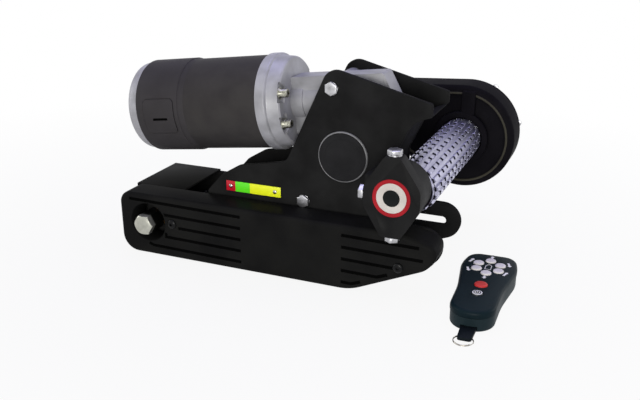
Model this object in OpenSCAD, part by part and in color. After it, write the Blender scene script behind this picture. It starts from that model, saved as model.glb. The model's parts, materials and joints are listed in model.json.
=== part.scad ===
// Caravan motor mover: a friction roller drive that is slid against a caravan tyre,
// with its radio handset. Millimetres, +Z up, origin at the centre of the base underside.
// X points at the tyre, Y runs along the roller away from the front cover.

/* [Base] */
// Length of the flat floor of the base frame
floor_len = 250; // [230:1:270]
// Width over the two side plates of the base frame
base_w = 75.5; // [74:0.5:84]
// Height of the side plates
side_h = 63; // [61:0.5:66]
// Thickness of the base plates
base_t = 4; // [3:0.5:5]
// Reach of the slotted nose past the floor
nose_reach = 80; // [76:1:88]
// Height of the guide slots above the underside
slot_z = 44; // [42:0.5:45]
// Diameter of the holes for the chassis bolts
chassis_hole_d = 10.5; // [8.4:0.1:13]
// Spacing of the chassis holes along the base
chassis_pitch_x = 200; // [180:1:210]
// Spacing of the chassis holes across the base
chassis_pitch_y = 38; // [34:1:40]

/* [Front cover] */
// Depth of the front cover
cover_depth = 29.5; // [27:0.5:32]
// Height of the covers above the side plates
cover_rise = 2.2; // [1.8:0.1:3]
// Wall of the moulded covers
cover_wall = 2.5; // [2:0.1:3]
// Diameter of the hole round the hex drive
drive_hole_d = 40; // [36:0.5:44]
// Pitch of the moulded grooves
groove_pitch = 12; // [11:0.1:12.5]
// Width of the moulded grooves
groove_w = 3; // [2:0.1:3.4]

/* [Engagement drive] */
// Size of the hex drive across its flats
hex_af = 19; // [17:1:21]
// Reach of the hex drive past the front cover
hex_reach = 10; // [6:0.5:16]
// Distance of the spindle from the left end of the floor
spindle_inset = 29.3; // [27:0.1:34]
// Height of the spindle and the lead screw
spindle_z = 35.8; // [33:0.1:37]
// Diameter of the spindle
spindle_d = 14; // [12:0.5:16]
// Pitch radius of the mitre bevel gears
mitre_r = 12; // [11:0.5:13]
// Diameter of the lead screw over its thread
screw_d = 12; // [10:0.5:14]
// Pitch of the lead screw
screw_pitch = 5; // [4:0.5:6]
// Side of the square lead nut
nut_size = 26; // [22:1:28]

/* [Carriage] */
// Travel of the carriage towards the tyre
travel = 42; // [36:1:46]
// Thickness of the glide washers between the far plate and the base
washer_t = 4.7; // [3:0.1:6]
// Thickness of the carriage plates
plate_t = 4; // [3:0.5:4.5]
// Diameter of the guide pins
pin_d = 8; // [7:0.5:9]
// Distance between the front and rear guide pins
pin_pitch = 148; // [140:1:154]
// Diameter of the hex bolts and their holes, nominal
bolt_d = 8; // [6:1:8]
// Size of the hex bolt heads across their flats
bolt_af = 12; // [11:0.5:13]
// Length of the position strip
strip_len = 60.5; // [50:0.5:64]
// Height of the position strip
strip_h = 10.6; // [8:0.1:12]

/* [Gears] */
// Distance of the worm wheel from the origin
wheel_x = 104.6; // [102:0.1:107]
// Height of the worm wheel axis
wheel_z = 120; // [118:0.5:124]
// Module of the worm and spur gears
gear_module = 2.5; // [2.4:0.02:2.6]
// Teeth on the worm wheel
wheel_teeth = 30; // [29:1:31]
// Pitch radius of the worm
worm_r = 11; // [10:0.5:12]
// Face width of the worm wheel
wheel_w = 16; // [12:0.5:18]
// Teeth on the drive pinion
pinion_teeth = 20; // [19:1:21]
// Teeth on the roller gear
roller_teeth = 39; // [38:1:40]
// Face width of the roller gear
gear_w = 12; // [10:0.5:12.5]
// Slope of the line from the worm wheel to the roller
gear_angle = -15.5; // [-18:0.5:-13]
// Diameter of the cross shaft and the roller stub axle
shaft_d = 17; // [15:0.5:17]

/* [Motor] */
// Upward tilt of the motor axis
motor_tilt = 6.9; // [4:0.1:9]
// Outer radius of the motor can
can_r = 45.8; // [45:0.1:47]
// Wall of the motor can
can_wall = 3; // [2:0.1:4]
// Length of the motor can
can_len = 80; // [70:0.5:90]
// Length of the brush band
band_len = 55; // [50:0.5:60]
// Length of the motor end cap
end_cap_len = 12.5; // [12:0.5:16]
// Diameter of the motor shaft
motor_shaft_d = 12; // [10:0.5:12]
// Distance from the worm wheel to the face of the motor flange
flange_set = 53.6; // [51:0.1:56]

/* [Roller and gear casing] */
// Radius of the drive roller over its ribs
roller_r = 22.5; // [21.5:0.1:23]
// Length of the drive roller
roller_len = 188; // [170:1:210]
// Number of ribs on the roller
rib_count = 16; // [12:1:18]
// Depth of the grooves between the ribs
rib_depth = 2.2; // [1:0.1:2.6]
// Wall of the gear casing
casing_wall = 4; // [3:0.5:5]
// Reach of the end cap in front of the cover
cap_reach = 16; // [15:0.5:20]

/* [Handset] */
// Distance of the handset from the origin along X
handset_x = 244; // [240:1:275]
// Place of the handset along Y
handset_y = -38; // [-60:1:-20]
// Turn of the handset on the floor
handset_turn = 92; // [85:1:110]
// Length of the handset shell
handset_len = 125; // [122:1:135]
// Thickness of the handset shell
handset_h = 20; // [19:0.5:24]
// Wall of the handset shells
shell_wall = 2; // [1.6:0.1:2.4]
// Diameter of the direction keys
key_d = 10; // [8:0.5:10.5]
// Travel of the buttons
key_travel = 1; // [0.6:0.1:1.2]

/* [Clearances] */
// Radial clearance of a running or seated round fit
fit = 0.05; // [0.02:0.01:0.1]
// Side clearance of a sliding fit
slide = 0.3; // [0.2:0.05:0.4]
// Clearance round bolts, buttons and moving covers
clear = 0.4; // [0.2:0.05:0.5]

/* [Hidden] */
$fn = 48;

// Base
floor_end = floor_len / 2;
side_y = base_w / 2;
side_in = side_y - base_t;
cover_top = side_h + cover_rise;
nose_tip = floor_end + nose_reach;
nose_r = side_h - slot_z;
nose_x = nose_tip - nose_r;
slot_r = pin_d / 2 + slide / 2;
cover_front = -side_y - cover_depth;
cover_tail = -floor_end - 4.6;
box_end = -floor_end + 57;
cover_screw_at = [[-floor_end + 58, spindle_z + 2.2], [nose_tip - 32.9, slot_z - 11.4]];
cover_screw_r = 2.5;
cover_boss_r = 6;
plain_left = 11;
plain_right = 116.5;
groove_depth = 1.2;
screw_head = [5, 3.4, 2.4];

// Engagement drive
spindle_x = -floor_end + spindle_inset;
screw_r = screw_d / 2;
support_t = 12;
support_w = 30;
hub_len = 8;
mitre_teeth = 16;
left_support_x = spindle_x + mitre_r + hub_len + 1;
right_support_x = floor_end - support_t - 1;
journal_r = screw_r - 2;

// Carriage
near_y0 = -side_in + slide + 0.2;
carriage_gap = side_in - slide - washer_t - near_y0 - 2 * plate_t;
near_y1 = near_y0 + plate_t;
far_y0 = near_y1 + carriage_gap;
far_y1 = far_y0 + plate_t;
mid_y = (near_y1 + far_y0) / 2;
pin_r = pin_d / 2;
pin_x = nose_x - travel;
pins = [pin_x - pin_pitch, pin_x];
plate_low = slot_z - 20;
tail_x = pins[0] - 39;
nut_x = right_support_x - travel - nut_size / 2 - 7;
trunnion_r = 6;
bolt_r = bolt_d / 2;
head_h = 5.5;
flat_head_h = 3.2;
low_head_h = side_y + near_y0 - 0.3;
nut_h = 6.5;

// Gears
tooth_rise = 0.88 * gear_module;
tooth_drop = 1.12 * gear_module;
wheel_r = gear_module * wheel_teeth / 2;
worm_set = wheel_r + worm_r;
worm_at = [wheel_x - sin(motor_tilt) * worm_set, mid_y, wheel_z + cos(motor_tilt) * worm_set];
worm_tip_r = worm_r + tooth_rise;
worm_root_r = worm_r - tooth_drop;
pinion_r = gear_module * pinion_teeth / 2;
roller_gear_r = gear_module * roller_teeth / 2;
roller_x = wheel_x + cos(gear_angle) * (pinion_r + roller_gear_r);
roller_z = wheel_z + sin(gear_angle) * (pinion_r + roller_gear_r);
shaft_r = shaft_d / 2;

// Ball bearings, each as bore radius, outer radius and width
motor_brg = [motor_shaft_d / 2 + fit, motor_shaft_d / 2 + 10, 10];
shaft_brg = [shaft_r + fit, shaft_r + 11.5, 12];
axle_brg = [shaft_r + fit, shaft_r + 9, 10];
roller_shaft_r = 10;
plate_hole_r = shaft_brg[1] - 1;
roller_brg = [roller_shaft_r + fit, 21, 12];

// Gearbox and motor, measured along the motor axis from the worm wheel
case_w = carriage_gap - 4;
case_low = -30;
case_end = 50;
block_s = -22;
ridge_top = 25.3;
ridge_w = 24;
block_top = 13;
neck_collar_r = 18.5;
neck_collar_len = 12;
block_end = 43;
wheel_room_r = wheel_r + tooth_rise + 1.5;
housing_r = wheel_room_r + 3.8;
worm_room_r = worm_tip_r + 1.5;
worm_len = 52;
worm_room = [-34, 30];
worm_barrel_r = worm_room_r + 2.4;
disc_s = -flange_set;
front_brg_s = disc_s - 6 - motor_brg[2];
ring_a_s = disc_s - 13.5;
can_s1 = ring_a_s - 10.5;
can_s0 = can_s1 - can_len;
collar_s = can_s0 - 10;
band_s0 = can_s0 - band_len;
end_s0 = band_s0 - end_cap_len;
ring_a_r = can_r + 1.6;
band_r = can_r + 1.3;
can_in_r = can_r - can_wall;
magnet_in_r = can_in_r - 6;
core_r = magnet_in_r - 1;
commutator_r = 14;
flange_screw_r = 38;
flange_screw_turns = [67.5, 112.5, -67.5, -112.5];
flange_bolt_r = 2.5;
pocket_depth = 1.5;
pocket_r = 6.5;
flange_head_len = 9;
shaft_room_r = motor_shaft_d / 2 + 3;
spigot = 4;
band_wall = 3.4;
top_bolt = [-4, 16.45];
low_bolt = [wheel_x - 40.4, cover_top + 5.5];
worm_phase = -180 * worm_len / (PI * gear_module);

// Roller and casing
roller_y0 = near_y0 - 12;
roller_y1 = roller_y0 + roller_len;
casing_y0 = roller_y1 + 1;
casing_brg_y = casing_y0 + 1;
gear_y = casing_brg_y + roller_brg[2] + 1;
cover_brg_y = gear_y + gear_w + 0.6;
lid_skin = 1.5;
casing_y1 = cover_brg_y + roller_brg[2] + lid_skin;
lid_t = 4;
lid_y = casing_y1 - lid_t;
gear_room = 2.5;
casing_r = roller_gear_r + tooth_rise + gear_room + casing_wall;
casing_small_r = pinion_r + tooth_rise + gear_room + casing_wall;
casing_face = 5;
brg_boss_r = roller_brg[1] + 4;
ring_r = roller_r + 7.5;
ring_y = casing_y0 - 6;
rim_bolt_turns = [-52, 12, 62, 118, 222];
shaft_seat = 42;
tube_r = 23;
bore_wall = 7.5;
rib_gap = 5;
first_gap = 17.25;
collar_len = 6;
collar_r = roller_r - rib_depth - 0.4;

// Roller end cap
cap_x = roller_x - 7.2;
cap_z = roller_z + 4.2;
cap_up = 37;
cap_side = 26;
cap_y0 = cover_front - cap_reach;
cap_y1 = cover_front - 1.3;
cap_mid = (cap_y0 + cap_y1) / 2;
cap_boss_r = 26;
cap_boss_y = roller_y0 - 2;
arm_x1 = roller_x - roller_r - 1.7;
arm_x0 = arm_x1 - 12;

// Handset, along its length from its middle
split_z = handset_h * 0.55;
board_t = 1.6;
key_flange = 1.6;
board_z = handset_h - shell_wall - 0.2 - key_flange - key_travel - 0.4 - board_t;
key_top = handset_h + key_travel + 0.2;
hex_x = handset_len / 2 - 30.9;
direction_keys = [[14, 0], [-14, 0], [6.2, 10.3], [6.2, -10.3], [-6.2, 10.3], [-6.2, -10.3]];
stop_x = hex_x - 39.8;
board_w = 31;
board_len = 95.6;
board_x1 = hex_x + 20;
board_x0 = board_x1 - board_len;
stop_d = 12;
power_x = hex_x - 58.4;
// Each button: place along, place across, diameter
button_places = concat([for (k = direction_keys) [hex_x + k[0], k[1], key_d]],
    [[stop_x, 0, stop_d], [power_x, 0, key_d]]);
ring_mean_r = 8.5;
ring_wire_r = 0.8;
tab_z = [shell_wall + 0.4, shell_wall + 3.4];
tab_w = 14;
tab_len = 20;
ring_x = -handset_len / 2 - tab_len - 2;

// Unit vector, and the points of one rounded corner of an outline
function unit(v) = v / norm(v);
function corner(a, b, c, r, steps) =
    let (u = unit(a - b), w = unit(c - b), half = acos(u * w) / 2)
    let (mid = b + unit(u + w) * r / sin(half), from = b + u * r / tan(half), to = b + w * r / tan(half))
    let (start = atan2(from.y - mid.y, from.x - mid.x), stop = atan2(to.y - mid.y, to.x - mid.x))
    let (sweep = (stop - start + 540) % 360 - 180)
    [for (i = [0:steps]) mid + r * [cos(start + sweep * i / steps), sin(start + sweep * i / steps)]];

// Outline through corners given as [x, y, radius]
function flat(p) = [p.x, p.y];
function rounded(pts, steps = 8) =
    let (n = len(pts))
    [for (i = [0:n - 1])
        let (a = pts[(i + n - 1) % n], b = pts[i], c = pts[(i + 1) % n])
        each b[2] == 0 ? [flat(b)] : corner(flat(a), flat(b), flat(c), b[2], steps)];

// The same corners drawn in by a wall; they run anticlockwise, and a hollow corner grows its radius
function drawn_in(pts, wall) =
    let (n = len(pts))
    [for (i = [0:n - 1])
        let (a = flat(pts[(i + n - 1) % n]), b = flat(pts[i]), c = flat(pts[(i + 1) % n]))
        let (u = unit(a - b), w = unit(c - b), half = acos(u * w) / 2)
        let (bend = cross(b - a, c - b) > 0 ? 1 : -1)
        let (p = b + bend * unit(u + w) * wall / sin(half))
        [p.x, p.y, max(pts[i][2] - bend * wall, 0.5)]];

// Lower tangent point on a circle, seen from a point to its left
function tangent_below(p, c, r) =
    let (d = norm(c - p), turn = atan2(c.y - p.y, c.x - p.x) - asin(r / d))
    p + sqrt(d * d - r * r) * [cos(turn), sin(turn)];

// Outline of a gear with straight-flanked teeth, one tooth centred on angle 0
function gear_outline(teeth, pitch_r, rise, drop, thick) =
    let (tip = (thick - rise * 0.75) / 2, root = (thick + drop * 0.55) / 2, step = 360 / teeth)
    let (out = pitch_r + rise, low = pitch_r - drop)
    let (tip_a = asin(tip / out), root_a = asin(root / low))
    [for (i = [0:teeth - 1]) each [
        low * [cos(i * step - root_a), sin(i * step - root_a)],
        out * [cos(i * step - tip_a), sin(i * step - tip_a)],
        out * [cos(i * step + tip_a), sin(i * step + tip_a)],
        low * [cos(i * step + root_a), sin(i * step + root_a)]]];

// Radius of the worm in a cross section, for a thread crest centred on angle 180
function worm_radius(angle) =
    let (away = abs(angle - 180) / 360 * PI * gear_module)
    let (crest = 0.3 * gear_module, foot = 0.75 * gear_module)
    away < crest ? worm_tip_r
    : away > foot ? worm_root_r
    : worm_tip_r - (away - crest) / (foot - crest) * (worm_tip_r - worm_root_r);

// Corners of the slotted plate of the base, of the front cover and of the carriage plates
nose_low = tangent_below([floor_end, 0], [nose_x, slot_z], nose_r);
nose_turn = atan2(nose_low.y - slot_z, nose_low.x - nose_x);
nose_steps = 16;
side_corners = [[-floor_end, 0], [floor_end, 0],
    for (i = [0:nose_steps]) let (turn = nose_turn + (90 - nose_turn) * i / nose_steps)
        [nose_x + nose_r * cos(turn), slot_z + nose_r * sin(turn)],
    [-floor_end, side_h]];
cover_corners = [[cover_tail, 0, 18], [floor_end, 0, 50], [nose_tip - 8, 32, 28],
    [nose_tip + 2, 43, 18], [nose_tip + 1, cover_top - 8, 9], [nose_tip - 30, cover_top, 24],
    [cover_tail, cover_top, 12]];
plate_corners = [[tail_x, plate_low, 3], [pin_x + 12, plate_low, 8], [pin_x + 12, slot_z + 16, 8],
    [arm_x1, cap_z - 20, 6], [arm_x1, cap_z + 15, 12], [wheel_x + 66, wheel_z + 40, 28],
    [wheel_x + 83.7, wheel_z + 45.8, 3], [wheel_x + 83.5, wheel_z + 57.7, 2],
    [wheel_x - 15, wheel_z + 83.8, 14], [wheel_x - 59, wheel_z - 12, 12],
    [tail_x + 37, cover_top + 33, 20], [tail_x + 17, cover_top + 21, 8], [tail_x, cover_top + 2, 3]];
handset_corners = [[-handset_len / 2, -20, 18.5], [-12, -20.5, 180],
    [handset_len / 2 - 26, -27, 60], [handset_len / 2, -22, 14],
    [handset_len / 2, 22, 14], [handset_len / 2 - 26, 27, 60],
    [-12, 20.5, 180], [-handset_len / 2, 20, 18.5]];

// A flat shape stood upright, from y over a thickness
module upright(y, thick) translate([0, y + thick, 0]) rotate([90, 0, 0]) linear_extrude(thick) children();

// Round bars along Y and along X
module bar_y(x, z, r, y0, y1) translate([x, y0, z]) rotate([-90, 0, 0]) cylinder(r = r, h = y1 - y0);
module bar_x(y, z, r, x0, x1) translate([x0, y, z]) rotate([0, 90, 0]) cylinder(r = r, h = x1 - x0);

// A ring along Y, and a ring along the local X axis
module ring_along_y(x, z, inner, outer, y, thick) {
    difference() {
        bar_y(x, z, outer, y, y + thick);
        bar_y(x, z, inner, y - 1, y + thick + 1);
    }
}
module ring_along_x(inner, outer, s0, s1) {
    difference() {
        bar_x(0, 0, outer, s0, s1);
        bar_x(0, 0, inner, s0 - 1, s1 + 1);
    }
}

// Frame of the motor: X along its axis, Z up out of the worm wheel
module on_motor() translate(worm_at) rotate([0, -motor_tilt, 0]) children();

// Frame of the handset: X along its length towards the top end
module on_handset() translate([handset_x, handset_y, 0]) rotate([0, 0, handset_turn]) children();

// Guide slots through a side plate
module guide_slots(y0, y1) {
    end_r = 0.98 * slot_r;
    low = slot_z - slot_r;
    top = slot_z + slot_r;
    for (x = pins) upright(y0, y1 - y0) polygon(rounded([[x - slot_r, low, end_r],
        [x + travel + slot_r, low, end_r], [x + travel + slot_r, top, end_r], [x - slot_r, top, end_r]]));
}

// One slotted side plate
module side_plate(y) {
    difference() {
        upright(y, base_t) polygon(side_corners);
        guide_slots(y - 1, y + base_t + 1);
    }
}

module base_frame() {
    color("#1d1d20") difference() {
        union() {
            translate([-floor_end, -side_y, 0]) cube([floor_len, base_w, base_t]);
            translate([-floor_end, -side_y, 0]) cube([base_t, base_w, side_h]);
            side_plate(-side_y);
            side_plate(side_in);
        }
        for (x = [-1, 1], y = [-1, 1])
            translate([x * chassis_pitch_x / 2, y * chassis_pitch_y / 2, -1])
                cylinder(d = chassis_hole_d, h = base_t + 2);
        bar_y(spindle_x, spindle_z, spindle_d / 2 + 3 + fit, -side_y - 1, -side_in + 1);
        for (p = cover_screw_at) bar_y(p.x, p.y, cover_screw_r + fit, -side_y - 1, -side_in + 1);
    }
}

// Moulded grooves of the front cover: left and right end of each, lowest first
module cover_grooves() {
    ends = [[-floor_end + 22, floor_end + 12], [-floor_end + 46, floor_end + 41],
        [cover_screw_at[0].x + 7, cover_screw_at[1].x - 7], [-floor_end + 46, nose_tip - 5],
        [-floor_end + 8, nose_tip - 14]];
    low = cover_top - 4.5 * groove_pitch - 0.6;
    cut = groove_depth + 1;
    for (i = [0:4]) translate([0, cover_front - 1, low + i * groove_pitch - groove_w / 2]) {
        translate([ends[i][0], 0, 0]) cube([plain_left - ends[i][0], cut, groove_w]);
        translate([plain_right, 0, 0]) cube([ends[i][1] - plain_right, cut, groove_w]);
    }
}

module front_cover() {
    color("#1b1b1e") difference() {
        union() {
            difference() {
                upright(cover_front, cover_depth) polygon(rounded(cover_corners));
                upright(cover_front + cover_wall, cover_depth)
                    polygon(rounded(drawn_in(cover_corners, cover_wall)));
            }
            for (p = cover_screw_at) bar_y(p.x, p.y, cover_boss_r, cover_front + 1, -side_y);
        }
        bar_y(spindle_x, spindle_z, drive_hole_d / 2, cover_front - 1, cover_front + cover_wall + 1);
        for (p = cover_screw_at) bar_y(p.x, p.y, cover_screw_r + fit, cover_front - 1, -side_y + 1);
        cover_grooves();
    }
}

module drive_cover() {
    color("#18181c") {
        translate([-floor_end - 2, -side_y, side_h]) cube([box_end + floor_end + 2, base_w, cover_rise]);
        translate([-floor_end - 2, -side_y, base_t]) cube([2, base_w, side_h - base_t + cover_rise / 2]);
    }
}

module cover_screws() {
    color("#101012") for (p = cover_screw_at) {
        bar_y(p.x, p.y, cover_screw_r, cover_front - 0.5, -side_in);
        difference() {
            translate([p.x, cover_front, p.y]) rotate([90, 0, 0])
                cylinder(r1 = screw_head[0], r2 = screw_head[1], h = screw_head[2]);
            translate([p.x, cover_front - 1, p.y]) rotate([90, 0, 0])
                cylinder(r = screw_head[1] / 2, h = screw_head[2], $fn = 6);
        }
    }
}

module spindle_bush() {
    color("#a8843f") difference() {
        union() {
            bar_y(spindle_x, spindle_z, spindle_d / 2 + 3, -side_y - 10, -side_in + 1);
            bar_y(spindle_x, spindle_z, spindle_d / 2 + 7, -side_in, -side_in + 3);
        }
        bar_y(spindle_x, spindle_z, spindle_d / 2 + fit, -side_y - 11, -side_in + 4);
    }
}

module screw_supports() {
    color("#5b5d62") for (x = [left_support_x, right_support_x]) difference() {
        translate([x, mid_y - support_w / 2, base_t]) cube([support_t, support_w, spindle_z + 12 - base_t]);
        bar_x(mid_y, spindle_z, journal_r + fit, x - 1, x + support_t + 1);
    }
}

module hex_spindle() {
    hex_back = -side_y - 12;
    hub_y = mid_y - mitre_r - hub_len - 1;
    color("#c9ccd2") {
        intersection() {
            translate([spindle_x, cover_front - hex_reach, spindle_z]) rotate([-90, 0, 0])
                cylinder(d = hex_af / cos(30), h = hex_back - cover_front + hex_reach, $fn = 6);
            translate([spindle_x, cover_front - hex_reach, spindle_z]) rotate([-90, 0, 0])
                cylinder(r1 = hex_af / 2, r2 = hex_af / 2 + 40, h = 40);
        }
        bar_y(spindle_x, spindle_z, spindle_d / 2, hex_back - 1, hub_y);
        bar_y(spindle_x, spindle_z, spindle_d / 2 - 2, hub_y - 1, mid_y - mitre_r + 3);
    }
}

// Straight mitre gear with its hub below and its teeth running up towards the cone point
module mitre_gear(bore_r) {
    face = 5;
    module_m = 2 * mitre_r / mitre_teeth;
    difference() {
        union() {
            linear_extrude(face, scale = (mitre_r - face) / mitre_r)
                polygon(gear_outline(mitre_teeth, mitre_r, 0.8 * module_m, 1.1 * module_m, 1.15 * module_m));
            translate([0, 0, -hub_len]) cylinder(r = mitre_r - 3, h = hub_len + 0.5);
        }
        translate([0, 0, -hub_len - 1]) cylinder(r = bore_r, h = hub_len + face + 2);
    }
}

module spindle_bevel() {
    color("#8d9097") translate([spindle_x, mid_y - mitre_r, spindle_z]) rotate([-90, 0, 0])
        mitre_gear(spindle_d / 2 - 2 + fit);
}

module lead_screw() {
    turns = floor((right_support_x - left_support_x - support_t - 4) / screw_pitch);
    start = left_support_x + support_t + 1;
    groove = 0.3 * screw_pitch;
    profile = [[0, start], [screw_r, start],
        for (i = [0:turns - 1]) each let (s = start + (i + 0.5) * screw_pitch) [
            [screw_r, s - groove], [screw_r - 1.5, s - groove / 2],
            [screw_r - 1.5, s + groove / 2], [screw_r, s + groove]],
        [screw_r, right_support_x - 1], [0, right_support_x - 1]];
    color("#b4b7bd") translate([0, mid_y, spindle_z]) {
        rotate([0, 90, 0]) rotate_extrude() polygon(profile);
        bar_x(0, 0, journal_r, spindle_x + mitre_r - 3, start + 1);
        bar_x(0, 0, journal_r, right_support_x - 2, right_support_x + support_t);
    }
}

module screw_bevel() {
    color("#8d9097") translate([spindle_x + mitre_r, mid_y, spindle_z]) rotate([0, -90, 0])
        rotate([0, 0, -90 + 180 / mitre_teeth]) mitre_gear(journal_r + fit);
}

// One carriage plate, with its bearing hole, pin holes and bolt holes
module carriage_plate(y) {
    difference() {
        upright(y, plate_t) polygon(rounded(plate_corners));
        bar_y(wheel_x, wheel_z, plate_hole_r, y - 1, y + plate_t + 1);
        for (x = pins) bar_y(x, slot_z, pin_r + fit, y - 1, y + plate_t + 1);
        bar_y(nut_x, spindle_z, trunnion_r + fit, y - 1, y + plate_t + 1);
        bar_y(low_bolt.x, low_bolt.y, bolt_r + fit, y - 1, y + plate_t + 1);
        on_motor() bar_y(top_bolt.x, top_bolt.y, bolt_r + fit, y - mid_y - 1, y - mid_y + plate_t + 1);
    }
}

module near_plate() color("#1f1f21") carriage_plate(near_y0);
module far_plate() color("#1f1f21") carriage_plate(far_y0);

module tyre_guard() {
    sheet = 1.2;
    inset = 0.3;
    knee_r = 28;
    bend_r = 12;
    top = [wheel_x + 82, wheel_z + 44.2 + inset];
    knee = [wheel_x + 66 - inset, wheel_z + 40 + inset];
    bend = [arm_x1 - inset, cap_z + 15];
    foot = [arm_x1 - inset, cap_z - 18];
    color("#17171a") upright(near_y1, carriage_gap) polygon(rounded([
        [top.x, top.y, 0], [knee.x, knee.y, knee_r], [bend.x, bend.y, bend_r], [foot.x, foot.y, 0],
        [foot.x - sheet, foot.y, 0], [bend.x - sheet, bend.y + 0.25 * sheet, bend_r + sheet],
        [knee.x - 0.8 * sheet, knee.y + 0.8 * sheet, knee_r + sheet], [top.x, top.y + sheet, 0]]));
}

module guide_pins() {
    color("#b9bcc2") for (x = pins) {
        bar_y(x, slot_z, pin_r, -side_y + 0.2, near_y1);
        bar_y(x, slot_z, pin_r, far_y0, side_y - 0.2);
    }
}

module glide_washers() {
    color("#e4e2da") for (x = pins)
        ring_along_y(x, slot_z, pin_r + fit, pin_r + 5, far_y1, washer_t);
}

module lead_nut() {
    color("#b08a45") difference() {
        union() {
            translate([nut_x - nut_size / 2, near_y1, spindle_z - nut_size / 2])
                cube([nut_size, carriage_gap, nut_size]);
            bar_y(nut_x, spindle_z, trunnion_r, near_y0, far_y1);
        }
        bar_x(mid_y, spindle_z, screw_r + fit, nut_x - nut_size, nut_x + nut_size);
    }
}

// Hexagon head with a chamfered top, standing on the XY plane
module hex_head(af, h) {
    intersection() {
        cylinder(d = af / cos(30), h = h, $fn = 6);
        cylinder(r1 = af / 2 + h + 0.2, r2 = af / 2 - 0.1, h = h);
    }
}

module plate_bolts() {
    color("#d3d6dc") {
        on_motor() {
            for (side = [-1, 1]) mirror([0, side > 0 ? 1 : 0, 0]) {
                face = -(carriage_gap / 2 + plate_t);
                bar_y(top_bolt.x, top_bolt.y, bolt_r, face - 1, face + plate_t + 12);
                translate([top_bolt.x, face, top_bolt.y]) rotate([90, 0, 0]) rotate([0, 0, 30])
                    hex_head(bolt_af, flat_head_h);
            }
        }
        bar_y(low_bolt.x, low_bolt.y, bolt_r, near_y0 - 1, far_y1 + nut_h - 2);
        translate([low_bolt.x, near_y0, low_bolt.y]) rotate([90, 0, 0]) rotate([0, 0, 30])
            hex_head(bolt_af, low_head_h);
        translate([low_bolt.x, far_y1, low_bolt.y]) rotate([-90, 0, 0]) hex_head(bolt_af, nut_h - 2.5);
    }
}

module cross_spacer() {
    color("#6a6d73") ring_along_y(low_bolt.x, low_bolt.y, bolt_r + fit, bolt_r + 4, near_y1, carriage_gap);
}

module gauge_strip() {
    color("#d8d832") translate([tail_x + 22, near_y0 - 1, cover_top + 5]) cube([strip_len, 1, strip_h]);
}

module bearing_cap() {
    cap_r = shaft_brg[1] + 4.4;
    color("#26262a") {
        translate([wheel_x, near_y0, wheel_z]) rotate([90, 0, 0])
            cylinder(r1 = cap_r, r2 = cap_r - 1, h = 2);
        bar_y(wheel_x, wheel_z, plate_hole_r - fit, near_y0 - 0.5, near_y1);
    }
}

// Aluminium worm gearbox case in the motor frame, with its wheel housing below the worm
module gearbox_case() {
    half = case_w / 2;
    gap = carriage_gap / 2;
    color("#b9bac6") on_motor() difference() {
        union() {
            upright(-ridge_w / 2, ridge_w) polygon(rounded([[disc_s, case_low, 2], [case_end, case_low, 3],
                [case_end, 0, 3], [case_end - 10, ridge_top, 3], [disc_s, ridge_top, 2]]));
            upright(-half, case_w) polygon(rounded([[block_s, case_low, 2], [block_end, case_low, 3],
                [block_end, 0, 3], [block_end - 5, block_top, 3], [block_s, block_top, 3]]));
            bar_x(0, 0, neck_collar_r, disc_s, disc_s + neck_collar_len);
            bar_x(0, 0, worm_barrel_r, disc_s, block_s + 1);
            bar_y(0, -worm_set, housing_r, -half, half);
            bar_y(0, -worm_set, shaft_brg[1] + 5, -gap, gap);
            bar_y(top_bolt.x, top_bolt.y, 9, -gap, gap);
        }
        bar_x(0, 0, worm_room_r, worm_room[0], worm_room[1]);
        bar_x(0, 0, motor_brg[1] + fit, worm_room[1] - 1, worm_room[1] + motor_brg[2]);
        bar_x(0, 0, shaft_room_r, disc_s - 1, worm_room[0] + 1);
        bar_y(0, -worm_set, wheel_room_r, -wheel_w / 2 - 1.5, wheel_w / 2 + 1.5);
        bar_y(0, -worm_set, shaft_brg[1] + fit, -gap - 1, gap + 1);
        for (side = [-1, 1]) bar_y(top_bolt.x, top_bolt.y, bolt_r + fit,
            side < 0 ? -gap - 1 : gap - 12.5, side < 0 ? -gap + 12.5 : gap + 1);
    }
}

// Places of the flange screws, turned round the motor axis
module flange_screw_places() {
    for (turn = flange_screw_turns) rotate([turn, 0, 0])
        translate([disc_s - pocket_depth, 0, flange_screw_r]) children();
}

module motor_flange() {
    color("#c3c4d0") on_motor() difference() {
        rotate([0, 90, 0]) rotate_extrude() polygon([[shaft_room_r, disc_s], [ring_a_r - 5, disc_s],
            [ring_a_r - 4, disc_s - 1], [ring_a_r - 2.5, ring_a_s],
            [ring_a_r - 1, ring_a_s], [ring_a_r, ring_a_s - 1.5], [ring_a_r, can_s1],
            [can_in_r - fit, can_s1], [can_in_r - fit, can_s1 - spigot],
            [can_in_r - spigot, can_s1 - spigot], [can_in_r - spigot, can_s1 + spigot],
            [shaft_room_r, can_s1 + spigot]]);
        bar_x(0, 0, motor_brg[1] + fit, front_brg_s, front_brg_s + motor_brg[2]);
        flange_screw_places() {
            bar_x(0, 0, pocket_r, 0, 10);
            bar_x(0, 0, flange_bolt_r + fit, -12, 1);
        }
    }
}

module flange_screws() {
    color("#8f8f86") on_motor() flange_screw_places() {
        bar_x(0, 0, flange_bolt_r, -10, 1);
        difference() {
            bar_x(0, 0, 1.7 * flange_bolt_r, 0, flange_head_len);
            translate([flange_head_len - flange_bolt_r, 0, 0]) rotate([0, 90, 0])
                cylinder(r = flange_bolt_r - 0.2, h = 2 * flange_bolt_r, $fn = 6);
        }
    }
}

module motor_can() color("#3c3a3e") on_motor() ring_along_x(can_in_r, can_r, can_s0, can_s1);

module magnets() {
    arc = 130;
    color("#2c2c2e") on_motor() for (turn = [0, 180])
        translate([can_s0 + 10, 0, 0]) rotate([0, 90, 0]) rotate([0, 0, turn - arc / 2])
            rotate_extrude(angle = arc) translate([magnet_in_r, 0])
                square([can_in_r - magnet_in_r - fit, can_len - 22]);
}

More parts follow.
